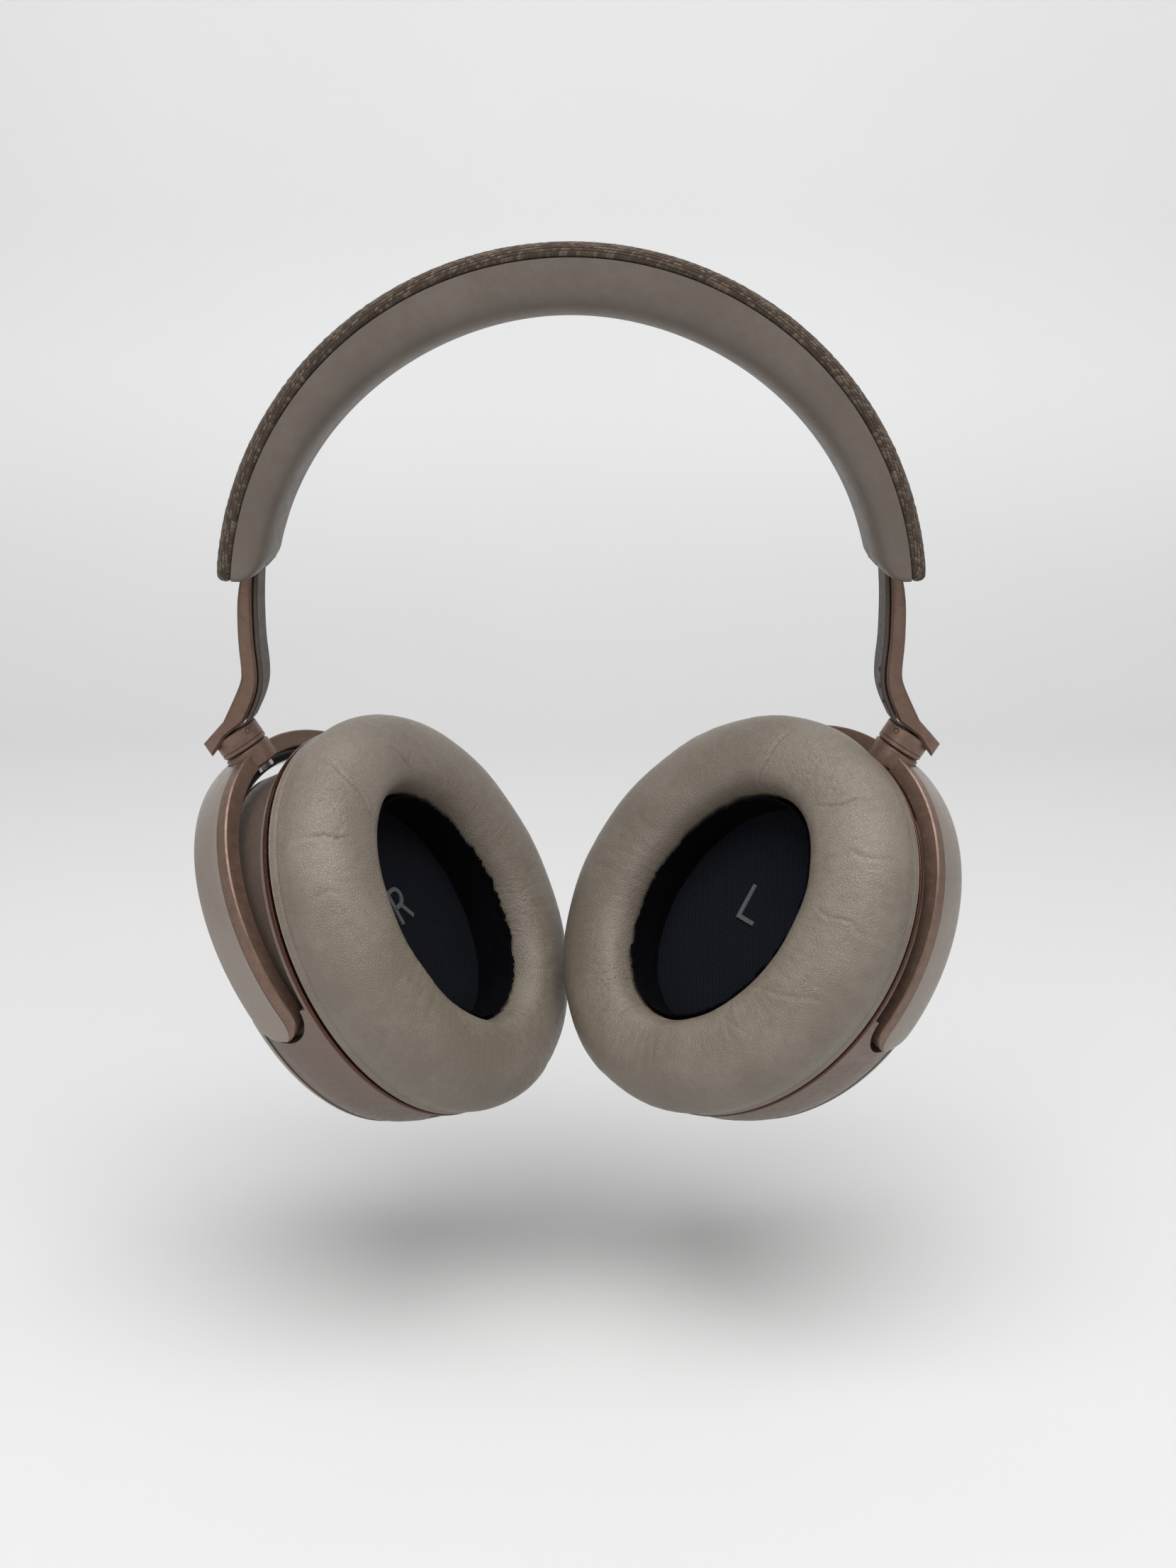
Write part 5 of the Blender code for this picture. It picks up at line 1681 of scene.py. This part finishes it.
    def add_leather(self) -> None:
        """The cushion itself."""
        section = np.array(self.SECTION)
        turn = np.linspace(0, 2 * math.pi, self.around, endpoint=False)
        grid = self.point_grid(section[:, 0], section[:, 1], turn)
        grid = self.inflated(grid)
        fine = refined(refined(grid, self.finer, 0), self.finer, 1)
        fine_turn = np.linspace(0, 2 * math.pi, self.around * self.finer, endpoint=False)
        fine_section = refined(section, self.finer, 0)
        share, z = fine_section[:, 0], fine_section[:, 1]
        normals = grid_normals(fine)
        if normals[0, 8 * self.finer, 2] < 0:
            normals = -normals
        top = np.clip((z - 0.0165) / 0.004, 0, 1)[None]
        out = self.folds(fine_turn, share) * top
        outer = (share > 0.9)[None] & (z < 0.0165)[None]
        seam = np.where(outer, -0.00028 * np.exp(-(((z - 0.0140) / 0.0004) ** 2))[None], 0)
        fine = fine + normals * (out + seam)[..., None]
        name = self.side.named("cushion_leather")
        form, place = Form().grid(fine, close=True), cup_place(self.side)
        piece = add_piece(name, form, place, self.palette["cushion_leather"])
        adopt(piece, self.side.body("cup"), [self.side.named("ear_cushion")])

    def add_lining(self) -> None:
        """The dark cloth down the opening's wall, its sewn edge ragged against the leather."""
        count = 720
        turn = np.linspace(0, 2 * math.pi, count, endpoint=False)
        rng = np.random.default_rng(7 if self.side is Side.RIGHT else 8)
        teeth = np.repeat(rng.uniform(-1, 1, count // 4), 4) * 0.00035
        teeth += waves(turn * 0.026, 0 * turn, 0.004, 1.0, 31) * 0.0003
        levels = np.linspace(0, 1, 15)
        rings = []
        for level in levels:
            z = 0.0122 + (0.0238 + teeth - 0.0122) * level
            puff = waves(turn * 0.026, z, 0.006, 1.0, 33) * 0.0001
            proud = -0.0003 - 0.0004 * level + puff - (0.00025 * (level > 0.9))
            share = 0.012 * (1 - level) + 0.002
            width = CUP.opening[0] + (CUP.half[0] - CUP.opening[0]) * share + proud
            height = CUP.opening[1] + (CUP.half[1] - CUP.opening[1]) * share + proud
            rings.append(np.stack([width * np.sin(turn), CUP.centre + height * np.cos(turn), z], -1))
        inner = np.stack(rings)
        outward = inner[::-1].copy()
        outward[..., 0] *= 1.02
        outward[..., 1] = CUP.centre + (outward[..., 1] - CUP.centre) * 1.015
        form = Form().grid(np.concatenate([inner, outward]), close=True)
        name, place = self.side.named("opening_lining"), cup_place(self.side)
        piece = add_piece(name, form, place, self.palette["lining_edge"])
        adopt(piece, self.side.body("cup"), [])

    def add_cloth(self) -> None:
        """The cloth over the driver, a little slack."""
        halves = inset(CUP.opening, -CUP.liner_margin)
        rings = []
        for share in np.linspace(1, 0.01, 44):
            ring = ellipse((halves[0] * share, halves[1] * share), 0.0, 144)
            soft = waves(ring[:, 0], ring[:, 1], 0.016, 1.0, 51) * 0.00016
            ring[:, 2] = CUP.frame_top - 0.0004 * (1 - share**4) + soft * (1 - share**6) - 0.0001
            rings.append(ring)
        top = np.stack(rings)
        low = CUP.frame_top - 0.0012
        under = np.stack([ellipse((halves[0] * s, halves[1] * s), low, 144) for s in (0.01, 0.5, 1)])
        form = Form().grid(np.concatenate([top, under]), close=True)
        name, place = self.side.named("driver_cloth"), cup_place(self.side)
        piece = add_piece(name, form, place, self.palette["ear_liner"])
        adopt(piece, self.side.body("cup"), [self.side.named("liner")])

    @staticmethod
    def stroke(points: Sequence[tuple[float, float]], width: float) -> Points:
        """A flat stroke of even width along a line, as pairs of edge points.

        Args:
            points: the line's points.
            width: the stroke's width.

        Returns:
            The pairs of points.
        """
        line = np.array(points)
        steps = line[1:] - line[:-1]
        steps /= np.linalg.norm(steps, axis=1, keepdims=True)
        sides = np.stack([-steps[:, 1], steps[:, 0]], -1)
        joined = np.concatenate([sides[:1], sides[1:] + sides[:-1], sides[-1:]])
        lengths = np.concatenate([[1.0], 1 + (sides[1:] * sides[:-1]).sum(1), [1.0]])
        joined = joined / lengths[:, None] * width / 2
        return np.stack([line + joined, line - joined], 1)

    def add_letter(self) -> None:
        """The plain side letter printed on the cloth."""
        high, wide, pen = 0.0084, 0.0050, 0.00105
        if self.side is Side.LEFT:
            strokes = [[(0, high), (0, 0), (wide, 0)]]
        else:
            turns = np.radians(np.linspace(90, -90, 13))
            radius, hip = high * 0.25, wide * 0.42
            bowl = [(hip + radius * math.cos(t), high * 0.75 + radius * math.sin(t)) for t in turns]
            strokes = [[(0, 0), (0, high)] + bowl + [(0, high * 0.5)]]
            strokes.append([(wide * 0.50, high * 0.5), (wide * 0.98, 0)])
        form = Form()
        lean = math.radians(10 if self.side is Side.LEFT else -4)
        for number, points in enumerate(strokes):
            edges = self.stroke(points, pen) - (wide / 2, high / 2)
            x = edges[..., 1] * math.sin(lean) - edges[..., 0] * math.cos(lean)
            y = -edges[..., 1] * math.cos(lean) - edges[..., 0] * math.sin(lean)
            flat = np.stack([x + 0.0002, y - 0.0016], -1)
            height = CUP.frame_top + 0.00004 + 0.00001 * number
            layers = []
            for z in (height - 0.0006, height):
                layers.append(np.concatenate([flat, np.full((*flat.shape[:2], 1), z)], -1))
            low, top = layers
            rings = np.stack([low[:, 0], low[:, 1], top[:, 1], top[:, 0]], 1)
            form.grid(rings)
        name, place = self.side.named("side_letter"), cup_place(self.side)
        piece = add_piece(name, form, place, self.palette["letter_print"])
        adopt(piece, self.side.body("cup"), [])

    def build(self) -> None:
        """Adds the cushion's pieces."""
        self.add_leather()
        self.add_lining()
        self.add_cloth()
        self.add_letter()


# ---- Cup shells -------------------------------------------------------------------------------
@dataclass
class CupShell:
    """One side's shell, domed cover, trim ring and buttons."""

    side: Side
    palette: Palette

    def tip_rooms(self) -> list[tuple[Form, Matrix]]:
        """Round room for each yoke tip, as cutters.

        Returns:
            The cutters and their places.
        """
        rooms = []
        for direction in (-1, 1):
            place = Matrix.Rotation(direction * math.pi / 2, 4, "Y")
            profile = [(CUP.tip_room, CUP.recess[0]), (CUP.tip_room, 0.09)]
            form = Form().turned(profile, 96, Matrix.Identity(4))
            rooms.append((form, place))
        return rooms

    def crown_room(self, top: float) -> tuple[Form, Matrix]:
        """Everything outside the recessed wall above the pivots, as one cutter.

        Args:
            top: the height that the cut goes up to.

        Returns:
            The cutter and its place.
        """
        count = 81
        turn = np.linspace(math.pi / 2, 3 * math.pi / 2, count)
        wide = np.stack([0.09 * np.sin(turn), CUP.centre + 0.1 * np.cos(turn)], -1)
        near = np.stack([CUP.recess[0] * np.sin(turn), CUP.centre + CUP.recess[1] * np.cos(turn)], -1)
        for line in (wide, near):
            line[:, 1] = np.minimum(line[:, 1], 0.0)
        rings = []
        for line, z in ((near, -0.05), (wide, -0.05), (wide, top), (near, top)):
            rings.append(np.concatenate([line, np.full((count, 1), z)], 1))
        return Form().grid(np.stack(rings, 1)), Matrix.Identity(4)

    def add_wall(self) -> None:
        """The cup's side wall, recessed where the fork passes."""
        cavity = inset(CUP.recess, CUP.wall)
        soft = 0.0002
        rings = [
            ellipse(inset(CUP.shell_back_edge, soft), CUP.shell_back),
            ellipse(CUP.shell_back_edge, CUP.shell_back + soft),
            ellipse(inset(CUP.shell, 0.0008), CUP.shell_back * 0.5),
            ellipse(inset(CUP.shell, 0.0002), 0.0),
            ellipse(CUP.shell, 0.0040),
            ellipse(CUP.shell, CUP.flange_top - soft),
            ellipse(inset(CUP.shell, soft), CUP.flange_top),
            ellipse(cavity, CUP.flange_top),
            ellipse(cavity, CUP.shell_back),
        ]
        name = self.side.named("cup_wall")
        place = cup_place(self.side)
        piece = add_piece(name, oval_solid(rings), place, self.palette["dark_copper_shell"])
        cutters = [self.crown_room(CUP.flange_base)] + self.tip_rooms() + self.small_rooms()
        carve(piece, place, cutters)
        adopt(piece, self.side.body("cup"), [self.side.named("cup_shell")])

    def add_dome(self) -> None:
        """The domed outer cover."""
        rim = CUP.shell_back - 0.0003
        hollow = inset(CUP.shell_back_edge, 0.0016)
        turns = np.radians(np.linspace(0, 88.5, 22))
        rings = []
        for halves, depth in ((CUP.shell_back_edge, CUP.dome), (hollow, CUP.dome - 0.0016)):
            level = []
            for turn in turns:
                share = math.cos(turn) ** (2 / 3.4)
                smaller = (halves[0] * share, halves[1] * share)
                level.append(ellipse(smaller, rim - depth * math.sin(turn)))
            rings.append(level)
        form = oval_solid(rings[0][::-1] + rings[1], close=False)
        name, place = self.side.named("dome_cover"), cup_place(self.side)
        piece = add_piece(name, form, place, self.palette["satin_shell"])
        carve(piece, place, [self.crown_room(CUP.shell_back + 0.0006)] + self.tip_rooms())
        adopt(piece, self.side.body("cup"), [self.side.named("outer_cover")])

    def add_trim(self) -> None:
        """The bright ring beside the cushion."""
        outer, inner = inset(CUP.half, 0.0012), inset(CUP.half, 0.0036)
        low, high, soft = CUP.trim_base, CUP.trim_top, 0.00025
        rings = [
            ellipse(inner, low),
            ellipse(inset(outer, soft), low),
            ellipse(inset(outer, soft * 0.3), low + soft * 0.3),
            ellipse(outer, low + soft),
            ellipse(outer, high - soft),
            ellipse(inset(outer, soft * 0.3), high - soft * 0.3),
            ellipse(inset(outer, soft), high),
            ellipse(inner, high),
        ]
        name, place = self.side.named("trim_bright"), cup_place(self.side)
        piece = add_piece(name, oval_solid(rings), place, self.palette["copper_trim"])
        adopt(piece, self.side.body("cup"), [self.side.named("trim_ring")])

    @staticmethod
    def rim_place(direction: int, degrees: float, depth: float) -> Matrix:
        """A frame on the shell's lower edge: +Z out of the cup, +X along the edge.

        Args:
            direction: the side of the cup that the angle is counted towards.
            degrees: angle from the cup's lowest point.
            depth: height along the cup's axis.

        Returns:
            The frame, in the cup's own frame.
        """
        angle = math.radians(degrees)
        width, height = CUP.shell
        place = Vector((direction * width * math.sin(angle), CUP.centre + height * math.cos(angle), depth))
        out = Vector((direction * math.sin(angle) / width, math.cos(angle) / height, 0)).normalized()
        deep = Vector((0, 0, 1))
        return Matrix.Translation(place) @ Matrix((deep.cross(out), deep, out)).transposed().to_4x4()

    def buttons(self) -> list[tuple[str, str, float]]:
        """This side's buttons, as (node, body, degrees).

        Returns:
            The buttons.
        """
        if self.side is Side.LEFT:
            return [("noise_button", "noise_key", 50)]
        names = [("volume_up", 62), ("play", 50), ("volume_down", 38), ("power", 24)]
        return [(f"{name}_button", f"{name}_key", degrees) for name, degrees in names]

    @staticmethod
    def pill(half_length: float, half_height: float, count: int = 56) -> Points:
        """A flat outline with round ends, as (x, y) points.

        Args:
            half_length: half its length.
            half_height: half its height.
            count: how many points.

        Returns:
            The points.
        """
        turn = np.linspace(0, 2 * math.pi, count, endpoint=False)
        straight = half_length - half_height
        x = half_height * np.cos(turn) + straight * np.sign(np.cos(turn))
        return np.stack([x, half_height * np.sin(turn)], -1)

    def small_rooms(self) -> list[tuple[Form, Matrix]]:
        """Holes in the wall for buttons, socket, status lens and microphone, as cutters.

        Returns:
            The cutters and their places.
        """
        rear = self.side.sign
        sizes = [(self.rim_place(rear, d, 0.0004), 0.0039, 0.0021) for _, _, d in self.buttons()]
        sizes.append((self.rim_place(-rear, 29, 0.0062), 0.0031, 0.00085))
        if self.side is Side.RIGHT:
            sizes.append((self.rim_place(rear, 8, 0.0004), 0.0048, 0.0019))
            sizes.append((self.rim_place(rear, 16.5, 0.0004), 0.00091, 0.0009))
        rooms = []
        for place, half_length, half_height in sizes:
            flat = self.pill(half_length, half_height)
            rings = [np.concatenate([flat, np.full((len(flat), 1), z)], 1) for z in (-0.008, 0.004)]
            rooms.append((Form().grid(np.stack(rings)), place))
        return rooms

    def add_buttons(self) -> None:
        """Round-ended push buttons on the shell's rear edge."""
        for node, body, degrees in self.buttons():
            place = cup_place(self.side) @ self.rim_place(self.side.sign, degrees, 0.0004)
            rings = []
            top = ((0.0003, 0.0), (0.0006, 0.00012), (0.00078, 0.0004), (0.00084, 0.0009))
            for z, cut in ((-0.0032, 0.0), *top):
                flat = self.pill(0.0036 - cut, 0.0018 - cut)
                rings.append(np.concatenate([flat, np.full((len(flat), 1), z)], 1))
            form = Form().grid(np.stack(rings))
            piece = add_piece(f"{node}_cap", form, place, self.palette["button_plastic"])
            adopt(piece, body, [node])

    def add_microphone(self) -> None:
        """The slotted microphone inlay low on the front of the wall."""
        place = cup_place(self.side) @ self.rim_place(-self.side.sign, 29, 0.0062)
        rings = []
        for z, cut in ((-0.0011, 0.0), (-0.0003, 0.0), (-0.00022, 0.00012)):
            flat = self.pill(0.0028 - cut, 0.00056 - cut)
            rings.append(np.concatenate([flat, np.full((len(flat), 1), z)], 1))
        name, form = self.side.named("microphone_inlay"), Form().grid(np.stack(rings))
        piece = add_piece(name, form, place, self.palette["mesh_metal"])
        adopt(piece, self.side.body("cup"), [self.side.named("mic_mesh")])

    def build(self) -> None:
        """Adds the shell's pieces."""
        self.add_wall()
        self.add_dome()
        self.add_trim()
        self.add_buttons()
        self.add_microphone()


# ---- Studio -----------------------------------------------------------------------------------
@dataclass
class Studio:
    """Camera, floor and soft light."""

    floor: float = -0.235
    lens: float = 44.76

    def add_camera(self) -> None:
        """The camera, a little above the middle and tipped down."""
        data = bpy.data.cameras.new("camera")
        data.sensor_width = 36.0
        data.lens = self.lens
        data.clip_start = 0.01
        camera = bpy.data.objects.new("camera", data)
        camera.location = (0.0038, -0.454, 0.0015)
        camera.rotation_euler = (math.radians(76.3), 0, 0)
        bpy.context.scene.collection.objects.link(camera)
        bpy.context.scene.camera = camera

    def add_floor(self) -> None:
        """A pale sheet that runs back and curves up into a wall."""
        back, bend, wide = 0.62, 0.30, 7.0
        turns = np.radians(np.linspace(0, 90, 25))
        line = [(-7.0, 0.0), (-0.6, 0.0), (back, 0.0)]
        line += [(back + bend * math.sin(t), bend * (1 - math.cos(t))) for t in turns[1:]]
        line.append((back + bend, 2.6))
        rows = [[(-wide, y, self.floor + z), (wide, y, self.floor + z)] for y, z in line]
        form = Form().grid(np.array(rows), wrap=False)
        paper = Finish("paper", (0.62, 0.62, 0.615), (0.79, 0.79, 0.785), 0.85)
        made, graph, shader = paper.start()
        place = graph.place()
        cloudy = graph.math("MULTIPLY", graph.noise(place, 6.0, 4.0), 0.15)
        # The colour rises from darker on the floor to lighter up the wall: painted shade on the floor, with
        # random cloudy tone
        tone = graph.math("ADD", cloudy, graph.ramp(graph.parts(place)[2], self.floor, -0.02, (0.0, 0.85)))
        graph.feed(shader.inputs["Base Color"], paper.colours(graph, tone))
        add_piece("paper_sweep", form, Matrix.Identity(4), made)

    def add_light(self, name: str, place: Sequence[float], size: float, power: float) -> None:
        """A large square soft light that faces the cups.

        Args:
            name: the light's name.
            place: where it hangs.
            size: its side.
            power: its strength in watts.
        """
        data = bpy.data.lights.new(name, "AREA")
        data.size = size
        data.energy = power
        light = bpy.data.objects.new(name, data)
        light.location = place
        aim = Vector((0, 0, -0.1)) - Vector(place)
        light.rotation_euler = aim.to_track_quat("-Z", "Y").to_euler()
        bpy.context.scene.collection.objects.link(light)

    def build(self) -> None:
        """Adds the whole studio."""
        self.add_camera()
        self.add_floor()
        self.add_light("key_light", (0.05, -0.30, 0.90), 1.1, 15.0)
        self.add_light("front_fill", (-0.7, -1.1, 0.35), 0.9, 2.0)
        world = bpy.data.worlds.new("pale_room")
        world.use_nodes = True
        background = world.node_tree.nodes["Background"]
        background.inputs["Color"].default_value = (0.97, 0.98, 1.0, 1.0)
        background.inputs["Strength"].default_value = 0.51
        bpy.context.scene.world = world
        bpy.context.scene.view_settings.view_transform = "Standard"


def main() -> None:
    """Builds every visible piece over the CAD frame."""
    logging.basicConfig(level=logging.INFO, format="%(name)s: %(message)s")
    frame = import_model()
    palette = Palette()
    palette.paint(frame)
    Headband(palette).build()
    for side in Side:
        SlidingArm(side, palette).build()
        Yoke(side, palette).build()
        Cushion(side, palette).build()
        CupShell(side, palette).build()
    Studio().build()


if __name__ == "__main__":
    main()
